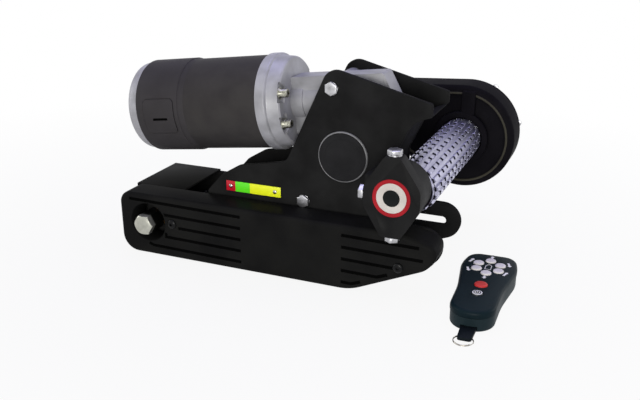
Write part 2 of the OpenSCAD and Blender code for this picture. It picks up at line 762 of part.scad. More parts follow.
module brush_band() {
    patch_half_turn = 22;
    color("#3a383b") on_motor() {
        ring_along_x(can_r - 0.6 - band_wall, can_r + 0.7, collar_s, can_s0);
        difference() {
            union() {
                ring_along_x(band_r - band_wall, band_r, band_s0, collar_s);
                translate([collar_s - 37, 0, 0]) rotate([0, 90, 0]) rotate([0, 0, -90 - patch_half_turn])
                    rotate_extrude(angle = 2 * patch_half_turn)
                        translate([band_r - 1, 0]) square([1.8, 35]);
            }
            translate([collar_s - 28, -band_r - 2, -3.6]) cube([17, 2.2, 1.6]);
        }
    }
}

module brush_holder() {
    s = collar_s - 14;
    color("#5a4632") on_motor() {
        ring_along_x(commutator_r + 6, band_r - band_wall - fit, s, s + 4);
        for (side = [-1, 1]) translate([s - 5, side * (commutator_r + 5) - 4.5, -4]) cube([14, 9, 8]);
    }
}

module motor_end_cap() {
    plug_r = band_r - band_wall - fit;
    color("#c6c7d2") on_motor() difference() {
        rotate([0, 90, 0]) rotate_extrude() polygon([[0, end_s0], [band_r - 6, end_s0],
            [band_r - 2.7, end_s0 + 3.5], [band_r - 2.7, band_s0], [plug_r, band_s0], [plug_r, band_s0 + 4],
            [0, band_s0 + 4]]);
        bar_x(0, 0, motor_brg[1] + fit, band_s0 + 4 - motor_brg[2], band_s0 + 5);
    }
}

module motor_bearings() {
    color("#a5a8ae") on_motor() for (s = [band_s0 + 4 - motor_brg[2], front_brg_s, worm_room[1]])
        ring_along_x(motor_brg[0], motor_brg[1], s, s + motor_brg[2]);
}

module armature() {
    slots = 12;
    bore = motor_shaft_d / 2 + fit;
    color("#7a4a2c") on_motor() {
        difference() {
            ring_along_x(bore, core_r, can_s0 + 14, can_s1 - 16);
            for (i = [0:slots - 1]) rotate([i * 360 / slots, 0, 0])
                translate([can_s0, -2, core_r - 9]) cube([can_len, 4, 10]);
        }
        ring_along_x(bore, commutator_r, collar_s - 20, collar_s);
    }
}

module motor_shaft() {
    color("#c4c7cc") on_motor()
        bar_x(0, 0, motor_shaft_d / 2, band_s0 + 5 - motor_brg[2], worm_room[1] + motor_brg[2] - 0.5);
}

module worm() {
    turns = worm_len / (PI * gear_module);
    points = 20;
    profile = [for (i = [0:points - 1]) let (a = i * 360 / points) worm_radius(a) * [cos(a), sin(a)]];
    color("#9a9da3") on_motor() difference() {
        rotate([0, 90, 0]) rotate([0, 0, worm_phase]) translate([0, 0, -worm_len / 2])
            linear_extrude(worm_len, twist = -360 * turns, slices = ceil(turns * 12)) polygon(profile);
        bar_x(0, 0, motor_shaft_d / 2 + fit, -worm_len, worm_len);
    }
}

module worm_wheel() {
    y0 = mid_y - wheel_w / 2;
    color("#b58d3d") difference() {
        upright(y0, wheel_w) translate([wheel_x, wheel_z]) rotate(90 + motor_tilt)
            polygon(gear_outline(wheel_teeth, wheel_r, tooth_rise, tooth_drop, 1.2 * gear_module));
        bar_y(wheel_x, wheel_z, shaft_r + fit, y0 - 1, y0 + wheel_w + 1);
    }
}

module cross_shaft() {
    color("#b7babf") bar_y(wheel_x, wheel_z, shaft_r, near_y1 + 0.5, casing_y1 - lid_skin - 0.5);
}

module shaft_bearings() {
    color("#a5a8ae") for (y = [mid_y - wheel_w / 2 - 2 - shaft_brg[2], mid_y + wheel_w / 2 + 2, cover_brg_y])
        ring_along_y(wheel_x, wheel_z, shaft_brg[0], shaft_brg[1], y, shaft_brg[2]);
}

module shaft_tube() {
    color("#19191c") difference() {
        union() {
            bar_y(wheel_x, wheel_z, tube_r, far_y1, casing_y0);
            bar_y(wheel_x, wheel_z, tube_r + 8, far_y1, far_y1 + 5);
        }
        bar_y(wheel_x, wheel_z, tube_r - 4, far_y1 - 1, casing_y0 + 1);
    }
}

module drive_pinion() {
    color("#8d9097") difference() {
        upright(gear_y, gear_w) translate([wheel_x, wheel_z]) rotate(gear_angle)
            polygon(gear_outline(pinion_teeth, pinion_r, tooth_rise, tooth_drop, 1.2 * gear_module));
        bar_y(wheel_x, wheel_z, shaft_r + fit, gear_y - 1, gear_y + gear_w + 1);
    }
}

// Outline of the gear casing: two circles and their common tangents, grown by an allowance
module casing_shape(y, thick, grow) {
    big = casing_r + grow;
    small = casing_small_r + grow;
    lean = asin((big - small) / (pinion_r + roller_gear_r));
    bar_y(roller_x, roller_z, big, y, y + thick);
    bar_y(wheel_x, wheel_z, small, y, y + thick);
    upright(y, thick) polygon([for (p = [[1, big], [1, small], [-1, small], [-1, big]])
        let (turn = gear_angle + p[0] * (90 + lean))
        let (at = p[1] == big ? [roller_x, roller_z] : [wheel_x, wheel_z])
        at + p[1] * [cos(turn), sin(turn)]]);
}

module gear_casing() {
    inside_y = casing_y0 + casing_face;
    color("#17171a") difference() {
        union() {
            difference() {
                casing_shape(casing_y0, lid_y - casing_y0, 0);
                casing_shape(inside_y, casing_y1, -casing_wall);
            }
            bar_y(roller_x, roller_z, brg_boss_r, casing_y0, casing_brg_y + roller_brg[2]);
            bar_y(roller_x, roller_z, ring_r, ring_y, casing_y0 + 1);
            rib_w = 14.5;
            translate([roller_x + 6.5 - rib_w / 2, ring_y + 1, roller_z + ring_r - 6])
                cube([rib_w, 6, casing_r - ring_r + 1]);
        }
        bar_y(roller_x, roller_z, roller_brg[1] + fit, casing_brg_y, lid_y);
        bar_y(roller_x, roller_z, roller_shaft_r + 2, ring_y - 1, casing_brg_y + 1);
        bar_y(roller_x, roller_z, roller_r + 1.5, ring_y - 1, casing_y0);
        bar_y(wheel_x, wheel_z, shaft_r + 1.5, casing_y0 - 1, inside_y + 1);
    }
}

module casing_cover() {
    color("#1b1b1e") difference() {
        union() {
            casing_shape(lid_y, lid_t, 0);
            bar_y(roller_x, roller_z, brg_boss_r, cover_brg_y, lid_y + 1);
            bar_y(wheel_x, wheel_z, shaft_brg[1] + 4, cover_brg_y, lid_y + 1);
        }
        bar_y(roller_x, roller_z, roller_brg[1] + fit, cover_brg_y - 1, casing_y1 - lid_skin);
        bar_y(wheel_x, wheel_z, shaft_brg[1] + fit, cover_brg_y - 1, casing_y1 - lid_skin);
    }
}

module casing_bolts() {
    bolt_in = casing_r - casing_wall / 2;
    color("#c9ccd2") for (turn = rim_bolt_turns)
        translate([roller_x + bolt_in * cos(turn), casing_y1, roller_z + bolt_in * sin(turn)])
            rotate([-90, 0, 0]) hex_head(7, 3);
}

module drive_roller() {
    seat = axle_brg[2] + 2;
    color("#b4b6c6") difference() {
        bar_y(roller_x, roller_z, roller_r, roller_y0, roller_y1);
        bar_y(roller_x, roller_z, axle_brg[1] + fit, roller_y0 - 1, roller_y0 + seat);
        bar_y(roller_x, roller_z, roller_r - bore_wall, roller_y0 + seat - 1, roller_y1 - shaft_seat);
        bar_y(roller_x, roller_z, roller_shaft_r + fit, roller_y1 - shaft_seat - 1, roller_y1 + 1);
        ring_along_y(roller_x, roller_z, collar_r, roller_r + 1, roller_y0 - 1, collar_len + 1);
        for (i = [0:rib_count - 1]) translate([roller_x, roller_y0 - 1, roller_z])
            rotate([0, first_gap + i * 360 / rib_count, 0])
                translate([-rib_gap / 2, 0, roller_r - rib_depth])
                    cube([rib_gap, roller_len + 2, rib_depth + 1]);
    }
}

module roller_shaft() {
    color("#b7babf")
        bar_y(roller_x, roller_z, roller_shaft_r, roller_y1 - shaft_seat + 1, casing_y1 - lid_skin - 0.5);
}

module roller_gear() {
    color("#8d9097") difference() {
        upright(gear_y, gear_w) translate([roller_x, roller_z]) rotate(gear_angle + 180 + 180 / roller_teeth)
            polygon(gear_outline(roller_teeth, roller_gear_r, tooth_rise, tooth_drop, 1.2 * gear_module));
        bar_y(roller_x, roller_z, roller_shaft_r + fit, gear_y - 1, gear_y + gear_w + 1);
        for (i = [0:5]) translate([roller_x, 0, roller_z]) rotate([0, i * 60, 0])
            bar_y(0, 28, 8, gear_y - 1, gear_y + gear_w + 1);
    }
}

module roller_bearings() {
    color("#a5a8ae") {
        for (y = [casing_brg_y, cover_brg_y])
            ring_along_y(roller_x, roller_z, roller_brg[0], roller_brg[1], y, roller_brg[2]);
        ring_along_y(roller_x, roller_z, axle_brg[0], axle_brg[1], roller_y0 + 1, axle_brg[2]);
    }
}

module roller_axle() {
    color("#b7babf") bar_y(roller_x, roller_z, shaft_r, cap_y0 + 5, roller_y0 + axle_brg[2] + 3);
}

module roller_end_cap() {
    outline = [[-9, -cap_up, 5], [9, -cap_up, 5], [cap_side, -9, 16], [cap_side, 9, 16],
        [7, cap_up, 5], [-7, cap_up, 5], [-cap_side, 9, 16], [-cap_side, -9, 16]];
    color("#202022") difference() {
        union() {
            upright(cap_y0, cap_y1 - cap_y0) translate([cap_x, cap_z]) polygon(rounded(outline));
            bar_y(cap_x, cap_z, cap_boss_r, cap_y1 - 1, cap_boss_y);
            translate([arm_x0, cap_y1 - 1, cap_z - 18]) cube([arm_x1 - arm_x0, near_y0 - cap_y1 + 1, 32]);
        }
        bar_y(roller_x, roller_z, shaft_r + fit, cap_y0 + 5, cap_boss_y + 1);
        cap_bolt_places() translate([0, 0, -9]) cylinder(r = bolt_r - 1 + fit, h = 10);
    }
}

// Places of the three radial bolts, each with Z pointing out of the cap
module cap_bolt_places() {
    for (turn = [0, 180, 270]) translate([cap_x, cap_mid, cap_z]) rotate([0, turn, 0])
        translate([0, 0, turn % 180 == 0 ? cap_up : cap_side]) children();
}

module cap_bolts() {
    color("#c9ccd2") cap_bolt_places() {
        hex_head(bolt_af, head_h);
        translate([0, 0, -8.5]) cylinder(r = bolt_r - 1, h = 9);
    }
}

// Handset
module handset_base() {
    post_r = 2.5;
    color("#14232a") on_handset() {
        difference() {
            linear_extrude(split_z) polygon(rounded(handset_corners));
            translate([0, 0, shell_wall]) linear_extrude(split_z)
                polygon(rounded(drawn_in(handset_corners, shell_wall)));
            translate([-handset_len / 2 - 1, -tab_w / 2 - slide, tab_z[0] - slide])
                cube([10, tab_w + 2 * slide, tab_z[1] - tab_z[0] + 2 * slide]);
        }
        for (x = [board_x0 + 4, 0, board_x1 - 4], y = [-1, 1])
            translate([x, y * (board_w / 2 - post_r), 1]) cylinder(r = post_r, h = board_z - 1);
    }
}

module handset_top() {
    color("#15262d") on_handset() difference() {
        translate([0, 0, split_z]) linear_extrude(handset_h - split_z) polygon(rounded(handset_corners));
        translate([0, 0, split_z - 1]) linear_extrude(handset_h - split_z + 1 - shell_wall)
            polygon(rounded(drawn_in(handset_corners, shell_wall)));
        for (b = button_places) translate([b[0], b[1], handset_h - shell_wall - 1])
            cylinder(d = b[2] + 2 * slide, h = shell_wall + 2);
    }
}

module circuit_board() {
    color("#1d5a36") on_handset() translate([board_x0, -board_w / 2, board_z])
        cube([board_x1 - board_x0, board_w, board_t]);
}

// One handset button with its retaining flange under the upper shell
module button(place) {
    low = handset_h - shell_wall - 0.2 - key_flange;
    on_handset() translate([place[0], place[1], low]) {
        cylinder(d = place[2] + 1.6, h = key_flange);
        cylinder(d = place[2], h = key_top - low);
    }
}

module key_forward() color("#dcd8e2") button(button_places[0]);
module key_back() color("#dcd8e2") button(button_places[1]);
module key_front_left() color("#dcd8e2") button(button_places[2]);
module key_front_right() color("#dcd8e2") button(button_places[3]);
module key_rear_left() color("#dcd8e2") button(button_places[4]);
module key_rear_right() color("#dcd8e2") button(button_places[5]);
module stop_button() color("#d3352d") button(button_places[6]);
module power_button() color("#1a2a30") button(button_places[7]);

module strap_tab() {
    color("#10161a") on_handset() difference() {
        translate([0, 0, tab_z[0]]) linear_extrude(tab_z[1] - tab_z[0]) polygon(rounded([
            [-handset_len / 2 - tab_len, -tab_w / 2 + 1, 2.5], [-handset_len / 2 + 6, -tab_w / 2, 0.5],
            [-handset_len / 2 + 6, tab_w / 2, 0.5], [-handset_len / 2 - tab_len, tab_w / 2 - 1, 2.5]]));
        ring_form(ring_wire_r + clear);
    }
}

module ring_form(wire_r) {
    translate([ring_x, 0, (tab_z[0] + tab_z[1]) / 2]) rotate_extrude()
        translate([ring_mean_r, 0]) circle(r = wire_r);
}

module split_ring() color("#a9a294") on_handset() ring_form(ring_wire_r);

base_frame();
front_cover();
drive_cover();
cover_screws();
spindle_bush();
screw_supports();
hex_spindle();
spindle_bevel();
lead_screw();
screw_bevel();
near_plate();
far_plate();
tyre_guard();
guide_pins();
glide_washers();
lead_nut();
plate_bolts();
cross_spacer();
gauge_strip();
bearing_cap();
gearbox_case();
motor_flange();
flange_screws();
motor_can();
magnets();
brush_band();
brush_holder();
motor_end_cap();
motor_bearings();
armature();
motor_shaft();
worm();
worm_wheel();
cross_shaft();
shaft_bearings();
shaft_tube();
drive_pinion();
gear_casing();
casing_cover();
casing_bolts();
drive_roller();
roller_shaft();
roller_gear();
roller_bearings();
roller_axle();
roller_end_cap();
cap_bolts();
handset_base();
handset_top();
circuit_board();
key_forward();
key_back();
key_front_left();
key_front_right();
key_rear_left();
key_rear_right();
stop_button();
power_button();
strap_tab();
split_ring();
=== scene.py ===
import json
import math
import bpy
from mathutils import Matrix, Vector


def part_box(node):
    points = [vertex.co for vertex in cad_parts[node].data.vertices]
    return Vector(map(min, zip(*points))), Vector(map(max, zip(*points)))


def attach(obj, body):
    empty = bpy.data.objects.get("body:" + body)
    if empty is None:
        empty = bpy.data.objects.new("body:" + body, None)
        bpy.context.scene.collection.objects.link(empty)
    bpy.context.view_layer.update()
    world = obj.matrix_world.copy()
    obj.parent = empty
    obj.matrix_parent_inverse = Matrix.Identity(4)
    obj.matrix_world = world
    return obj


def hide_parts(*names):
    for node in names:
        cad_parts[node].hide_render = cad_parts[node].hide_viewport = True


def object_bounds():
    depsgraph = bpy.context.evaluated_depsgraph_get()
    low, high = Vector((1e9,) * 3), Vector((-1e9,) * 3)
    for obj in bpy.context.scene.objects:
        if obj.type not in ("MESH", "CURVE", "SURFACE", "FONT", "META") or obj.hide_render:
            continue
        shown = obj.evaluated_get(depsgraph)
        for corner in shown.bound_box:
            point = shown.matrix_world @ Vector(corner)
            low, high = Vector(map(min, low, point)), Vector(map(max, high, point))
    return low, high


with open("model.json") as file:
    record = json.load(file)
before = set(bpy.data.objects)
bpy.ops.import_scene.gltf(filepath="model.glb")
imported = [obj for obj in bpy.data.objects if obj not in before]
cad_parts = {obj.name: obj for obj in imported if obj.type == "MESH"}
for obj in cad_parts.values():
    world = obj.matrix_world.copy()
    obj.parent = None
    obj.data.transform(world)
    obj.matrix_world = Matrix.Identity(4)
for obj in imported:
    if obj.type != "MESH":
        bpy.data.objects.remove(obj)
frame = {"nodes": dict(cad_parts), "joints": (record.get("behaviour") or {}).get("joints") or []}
cad_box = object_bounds()

# Studio: a pale floor, a broad panel overhead with a lavender cast and three upright panels.
# The camera stands to the right of the front cover and looks a little down, as for a catalogue.
scene = bpy.context.scene
scene.view_settings.view_transform = "Standard"
catalogue_lens = bpy.data.cameras.new("catalogue_camera")
catalogue_lens.lens = 45.39
catalogue_lens.sensor_width = 36.0
catalogue_camera = bpy.data.objects.new("catalogue_camera", catalogue_lens)
catalogue_camera.location = (0.36352, -0.70811, 0.34576)
catalogue_camera.rotation_euler = (math.radians(69.6), 0.0, math.radians(22.7))
scene.collection.objects.link(catalogue_camera)
scene.camera = catalogue_camera


def soft_panel(name, place, aim, width, height, watts, colour):
    """A flat studio lamp that faces a point."""
    lamp = bpy.data.lights.new(name, "AREA")
    lamp.shape = "RECTANGLE"
    lamp.size = width
    lamp.size_y = height
    lamp.energy = watts
    lamp.color = colour
    holder = bpy.data.objects.new(name, lamp)
    holder.location = place
    holder.rotation_euler = (Vector(aim) - Vector(place)).to_track_quat("-Z", "Y").to_euler()
    scene.collection.objects.link(holder)


middle = (cad_box[0] + cad_box[1]) / 2
soft_panel("overhead_panel", (0.05, 0.25, 1.5), middle, 1.5, 1.0, 11.0, (0.50, 0.47, 1.0))
soft_panel("front_panel", (0.5, -1.7, 0.34), middle, 1.0, 0.8, 23.0, (1.0, 0.99, 0.95))
soft_panel("left_panel", (-1.5, -0.5, 0.6), middle, 0.7, 1.0, 5.0, (1.0, 1.0, 1.0))
soft_panel("rear_panel", (1.7, 1.2, 0.6), middle, 1.0, 0.8, 9.0, (1.0, 1.0, 1.0))


def blank_finish(name):
    """A new material: itself, its node tree, its shader and the piece's own coordinates."""
    finish = bpy.data.materials.new(name)
    finish.use_nodes = True
    tree = finish.node_tree
    place = tree.nodes.new("ShaderNodeTexCoord").outputs["Object"]
    return finish, tree, tree.nodes["Principled BSDF"], place


def reckon(tree, operation, *terms):
    """The result of one sum on sockets and plain numbers."""
    total = tree.nodes.new("ShaderNodeMath")
    total.operation = operation
    for entry, term in zip(total.inputs, terms):
        if isinstance(term, float):
            entry.default_value = term
        else:
            tree.links.new(term, entry)
    return total.outputs[0]


def spread(tree, value, *limits):
    """A value mapped from its least and most to two new limits, or else to 0 and 1."""
    share = tree.nodes.new("ShaderNodeMapRange")
    for key, limit in zip(("From Min", "From Max", "To Min", "To Max"), limits):
        share.inputs[key].default_value = limit
    tree.links.new(value, share.inputs["Value"])
    return share.outputs["Result"]


def seen_rays(tree):
    """1 for rays of the camera, of gloss and through glass, 0 for the light that falls on things."""
    rays = tree.nodes.new("ShaderNodeLightPath").outputs
    seen = reckon(tree, "MAXIMUM", rays["Is Camera Ray"], rays["Is Glossy Ray"])
    return reckon(tree, "MAXIMUM", seen, rays["Is Transmission Ray"])


def show_instead(tree, share, lit, shown, output):
    """Shows a second shader instead of the lit one, by a share of 0 to 1."""
    mix = tree.nodes.new("ShaderNodeMixShader")
    for source, entry in zip((share, lit.outputs[0], shown.outputs[0]), mix.inputs):
        tree.links.new(source, entry)
    tree.links.new(mix.outputs[0], tree.nodes[output].inputs["Surface"])


white = (1.0, 1.0, 1.0, 1.0)
studio_air = bpy.data.worlds.new("studio_air")
scene.world = studio_air
studio_air.use_nodes = True
air_tree = studio_air.node_tree
falling_light = air_tree.nodes["Background"]
falling_light.inputs["Color"].default_value = (0.94, 0.94, 1.0, 1.0)
falling_light.inputs["Strength"].default_value = 0.32
backdrop = air_tree.nodes.new("ShaderNodeBackground")
backdrop.inputs["Color"].default_value = white
show_instead(air_tree, seen_rays(air_tree), falling_light, backdrop, "World Output")

bpy.ops.object.select_all(action="DESELECT")
bpy.ops.mesh.primitive_plane_add(size=16.0, location=(0.0, 0.0, -0.0004))
studio_floor = bpy.context.object
studio_floor.name = "studio_floor"
floor_paint, floor_tree, floor_matt, floor_place = blank_finish("pale_floor")
floor_matt.inputs["Base Color"].default_value = (0.5, 0.5, 0.5, 1.0)
floor_matt.inputs["Roughness"].default_value = 0.8
floor_glow = floor_tree.nodes.new("ShaderNodeEmission")
floor_glow.inputs["Color"].default_value = white
from_middle = floor_tree.nodes.new("ShaderNodeVectorMath")
from_middle.operation = "LENGTH"
floor_tree.links.new(floor_place, from_middle.inputs[0])
near_glow, near_reach, far_reach = 0.9, 0.1, 0.75
glow = spread(floor_tree, from_middle.outputs["Value"], near_reach, far_reach, near_glow, 1.0)
glow_seen = reckon(floor_tree, "MULTIPLY", seen_rays(floor_tree), glow)
show_instead(floor_tree, glow_seen, floor_matt, floor_glow, "Material Output")
studio_floor.data.materials.append(floor_paint)

# Base frame: a channel folded and welded from 4 mm steel, with two slotted side plates that guide
# the carriage. It is powder coated satin black and bolts to the chassis through its floor.


def ink(red, green, blue):
    """A colour as a colour card gives it, 0 to 255, on the shader's own scale."""
    card = [value / 255 for value in (red, green, blue)]
    return tuple(v / 12.92 if v <= 0.04045 else ((v + 0.055) / 1.055) ** 2.4 for v in card) + (1.0,)


def grain(tree, place, scale, detail=3.0, stretch=(1.0, 1.0, 1.0)):
    """Cloudy noise, made finer along the axes that stretch enlarges."""
    mapping = tree.nodes.new("ShaderNodeMapping")
    mapping.inputs["Scale"].default_value = stretch
    tree.links.new(place, mapping.inputs["Vector"])
    noise = tree.nodes.new("ShaderNodeTexNoise")
    noise.inputs["Scale"].default_value = scale
    noise.inputs["Detail"].default_value = detail
    tree.links.new(mapping.outputs["Vector"], noise.inputs["Vector"])
    return noise.outputs["Fac"]


def tint(tree, shader, value, *stops):
    """Base colour that goes through shades, each given with its place on a value of 0 to 1."""
    ramp = tree.nodes.new("ShaderNodeValToRGB")
    shades = ramp.color_ramp.elements
    for _ in stops[2:]:
        shades.new(0.5)
    for shade, (place, colour) in zip(shades, stops):
        shade.position = place
        shade.color = ink(*colour)
    tree.links.new(value, ramp.inputs["Fac"])
    tree.links.new(ramp.outputs["Color"], shader.inputs["Base Color"])
    return ramp.color_ramp


def roughen(tree, shader, value, low, high):
    """Roughness that wanders between two levels."""
    tree.links.new(spread(tree, value, 0.3, 0.7, low, high), shader.inputs["Roughness"])


def emboss(tree, shader, height, depth):
    """Fine relief of a given depth in metres."""
    bump = tree.nodes.new("ShaderNodeBump")
    bump.inputs["Distance"].default_value = depth
    tree.links.new(height, bump.inputs["Height"])
    tree.links.new(bump.outputs["Normal"], shader.inputs["Normal"])


def surface(name, dark, light, roughness, cloud, relief, depth, metal=0.0, gleam=0.5):
    """A material with a cloudy tone, a roughness that follows it, and fine relief."""
    finish, tree, shader, place = blank_finish(name)
    tone = grain(tree, place, *cloud)
    tint(tree, shader, tone, (0.35, dark), (0.65, light))
    roughen(tree, shader, tone, *roughness)
    emboss(tree, shader, grain(tree, place, *relief), depth)
    shader.inputs["Metallic"].default_value = metal
    shader.inputs["Specular IOR Level"].default_value = gleam
    return finish


def powder_coat(name, dark, light, low=0.42, high=0.58, gleam=0.004):
    """Satin powder coat: a cloudy tone and a fine orange peel."""
    return surface(name, dark, light, (low, high), (40.0,), (900.0, 1.0), 0.00002, 0.0, gleam)


def alone(piece):
    """Leaves just this piece selected and active."""
    bpy.ops.object.select_all(action="DESELECT")
    piece.select_set(True)
    bpy.context.view_layer.objects.active = piece


def open_up():
    """Opens the active piece for editing with all of it selected."""
    bpy.ops.object.mode_set(mode="EDIT")
    bpy.ops.mesh.select_all(action="SELECT")


def work_in(piece, kind, **settings):
    """Adds a modifier to a piece and applies it."""
    alone(piece)
    modifier = piece.modifiers.new(kind.lower(), kind)
    for key, value in settings.items():
        setattr(modifier, key, value)
    bpy.ops.object.modifier_apply(modifier=modifier.name)


def smooth(piece, angle=38.0):
    """Shades a piece smooth, up to an angle between its faces."""
    alone(piece)
    bpy.ops.object.shade_smooth_by_angle(angle=math.radians(angle))


def ease(piece, width, segments=2, angle=30.0):
    """Breaks the sharp edges with a small rounding and shades the rest smooth."""
    work_in(piece, "BEVEL", width=width, segments=segments, limit_method="ANGLE",
            angle_limit=math.radians(angle))
    smooth(piece)


def copy_of(name, mesh):
    """A new piece with its own copy of a mesh."""
    piece = bpy.data.objects.new(name, mesh.copy())
    scene.collection.objects.link(piece)
    return piece


def eased_copy(node, name, edge, segments=2):
    """A copy of a solid with its flat faces made whole and its edges broken."""
    piece = copy_of(name, frame["nodes"][node].data)
    alone(piece)
    open_up()
    bpy.ops.mesh.remove_doubles(threshold=0.00001)
    bpy.ops.mesh.dissolve_limited(angle_limit=math.radians(1.0))
    bpy.ops.object.mode_set(mode="OBJECT")
    ease(piece, edge, segments)
    return piece


def settle(piece, body, slot, finish, *nodes):
    """Gives a finished piece its material and its body and hides the solids that it stands for; the slot is
    not used.
    """
    piece.data.materials.clear()
    piece.data.materials.append(finish)
    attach(piece, body)
    if nodes:
        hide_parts(*nodes)


black_steel = powder_coat("satin_black_steel", (29, 29, 29), (36, 36, 36))
slotted_channel = eased_copy("base_frame", "slotted_channel", 0.0006)
ground = cad_box[0].z
for corner in slotted_channel.data.vertices:
    corner.co.z = max(corner.co.z, ground)
settle(slotted_channel, "base", "satin_black_steel", black_steel, "base_frame")

# Front cover: a deep moulded shell of black ABS with rounded front edges. Five grooves run along it
# on both sides of a plain field, and a round well gives a wrench room to reach the drive hexagon.


def moulded_plastic(name, dark, light, low=0.36, high=0.5, gleam=0.03, grit=1400.0):
    """Moulded plastic: an even colour with the fine grit of the mould."""
    return surface(name, dark, light, (low, high), (25.0,), (grit, 2.0), 0.00002, 0.0, gleam)


def rounded(corners, steps=8):
    """The points of an outline whose corners (two coordinates and a radius) become arcs."""
    path = []
    for k, (across, up, radius) in enumerate(corners):
        here = Vector((across, up))
        back = (Vector(corners[k - 1][:2]) - here).normalized()
        ahead = (Vector(corners[(k + 1) % len(corners)][:2]) - here).normalized()
        half = back.angle(ahead) / 2
        centre = here + (back + ahead).normalized() * (radius / math.sin(half))
        first = here + back * (radius / math.tan(half)) - centre
        last = here + ahead * (radius / math.tan(half)) - centre
        start = math.atan2(first.y, first.x)
        turn = (math.atan2(last.y, last.x) - start + math.pi) % (2 * math.pi) - math.pi
        for step in range(steps + 1):
            angle = start + turn * step / steps
            path.append(centre + Vector((math.cos(angle), math.sin(angle))) * radius)
    return path


def drawn_circle(name, corners, radius=1.0, fill="NGON"):
    """A new circle, filled or open, as the start of a piece."""
    bpy.ops.object.select_all(action="DESELECT")
    bpy.ops.mesh.primitive_circle_add(vertices=corners, radius=radius, fill_type=fill)
    piece = bpy.context.object
    piece.name = name
    return piece


def close_up(merge=False):
    """Turns all faces outwards, after doubles are merged where that is asked, and ends the editing."""
    bpy.ops.mesh.select_all(action="SELECT")
    if merge:
        bpy.ops.mesh.remove_doubles(threshold=0.000001)
    bpy.ops.mesh.normals_make_consistent(inside=False)
    bpy.ops.object.mode_set(mode="OBJECT")


def cut_out(name, path, y0, y1):
    """A plate cut to an outline in X and Z and drawn out along Y."""
    piece = drawn_circle(name, len(path))
    for corner, (x, z) in zip(piece.data.vertices, path):
        corner.co = (x, y0, z)
    open_up()
    bpy.ops.mesh.extrude_region_move(TRANSFORM_OT_translate={"value": (0.0, y1 - y0, 0.0)})
    close_up()
    return piece


def pick(piece, kind, test):
    """Opens a piece for editing with only those edges or faces selected whose corners all pass."""
    alone(piece)
    bpy.ops.object.mode_set(mode="EDIT")
    bpy.ops.mesh.select_mode(type=kind)
    bpy.ops.mesh.select_all(action="DESELECT")
    bpy.ops.object.mode_set(mode="OBJECT")
    mesh = piece.data
    for item in mesh.edges if kind == "EDGE" else mesh.polygons:
        item.select = all(test(mesh.vertices[corner].co) for corner in item.vertices)
    bpy.ops.object.mode_set(mode="EDIT")


def at_y(place):
    """A test for corners that lie in one plane across Y."""
    return lambda corner: abs(corner.y - place) < 1e-6


def round_over(piece, test, radius, segments=5):
    """Rounds the edges that a test picks."""
    pick(piece, "EDGE", test)
    bpy.ops.mesh.bevel(offset=radius, segments=segments, affect="EDGES")
    bpy.ops.object.mode_set(mode="OBJECT")


def hollow(piece, test, wall, depth):
    """Sinks the face that a test picks, leaving a wall round it; depth is along Y."""
    pick(piece, "FACE", test)
    bpy.ops.mesh.inset(thickness=wall)
    bpy.ops.mesh.extrude_region_move(TRANSFORM_OT_translate={"value": (0.0, depth, 0.0)})
    bpy.ops.object.mode_set(mode="OBJECT")


def turned(name, steps, sides=96):
    """A solid turned along Z: a disc drawn out in steps, each a place along Z and a radius."""
    place, radius = steps[0]
    piece = drawn_circle(name, sides, radius)
    open_up()
    bpy.ops.transform.translate(value=(0.0, 0.0, place))
    for next_place, next_radius in steps[1:]:
        bpy.ops.mesh.extrude_region_move(TRANSFORM_OT_translate={"value": (0.0, 0.0, next_place - place)})
        grow = next_radius / radius
        bpy.ops.transform.resize(value=(grow, grow, 1.0), center_override=(0.0, 0.0, next_place))
        place, radius = next_place, next_radius
    close_up()
    return piece


def put(piece, place, turn=(0.0, 0.0, 0.0)):
    """Turns a piece, moves it to its place and applies both."""
    alone(piece)
    piece.rotation_euler = turn
    piece.location = place
    bpy.ops.object.transform_apply(location=True, rotation=True, scale=True)
    return piece


def stand(piece, place, axis):
    """Turns a piece made along Z onto an axis and moves it to its place."""
    return put(piece, place, Vector(axis).to_track_quat("Z", "Y").to_euler())


def weld(name, parts):
    """Joins parts into one piece."""
    bpy.ops.object.select_all(action="DESELECT")
    for part in parts:
        part.select_set(True)
    bpy.context.view_layer.objects.active = parts[0]
    bpy.ops.object.join()
    parts[0].name = name
    return parts[0]


def carve(piece, tool, operation="DIFFERENCE"):
    """Cuts a piece with a second solid, which is then thrown away."""
    work_in(piece, "BOOLEAN", object=tool, operation=operation, solver="EXACT")
    bpy.data.objects.remove(tool)
    smooth(piece)


def ribbon(points, width):
    """The outline of a line of points given a width, with mitred bends."""
    left, right = [], []
    for k, point in enumerate(points):
        here = Vector(point)
        ahead = (Vector(points[k + 1]) - here).normalized() if k + 1 < len(points) else None
        back = (here - Vector(points[k - 1])).normalized() if k else ahead
        ahead = ahead or back
        way = (back + ahead).normalized()
        side = Vector((-way.y, way.x)) * (width / 2 / way.dot(ahead))
        left.append(here + side)
        right.append(here - side)
    return left + right[::-1]


def middle_of(node):
    """The middle of a solid's box."""
    low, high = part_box(node)
    return (low + high) / 2


forward, rearward = (0.0, -1.0, 0.0), (0.0, 1.0, 0.0)
cover_low, cover_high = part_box("front_cover")
cover_left, cover_right, cover_top = cover_low.x, cover_high.x, cover_high.z
cover_front, cover_back = cover_low.y, cover_high.y
cover_wall = 0.0025
cover_corners = [
    (cover_left, 0.0, 0.018), (cover_right - 0.082, 0.0, 0.050), (cover_right - 0.010, 0.032, 0.022),
    (cover_right, 0.043, 0.014), (cover_right - 0.001, 0.0572, 0.009),
    (cover_right - 0.032, cover_top, 0.024), (cover_left, cover_top, 0.012)]
front_cover = cut_out("grooved_front_cover", rounded(cover_corners), cover_front, cover_back)
round_over(front_cover, at_y(cover_front), 0.0045)
hollow(front_cover, at_y(cover_back), cover_wall, cover_front + cover_wall - cover_back)

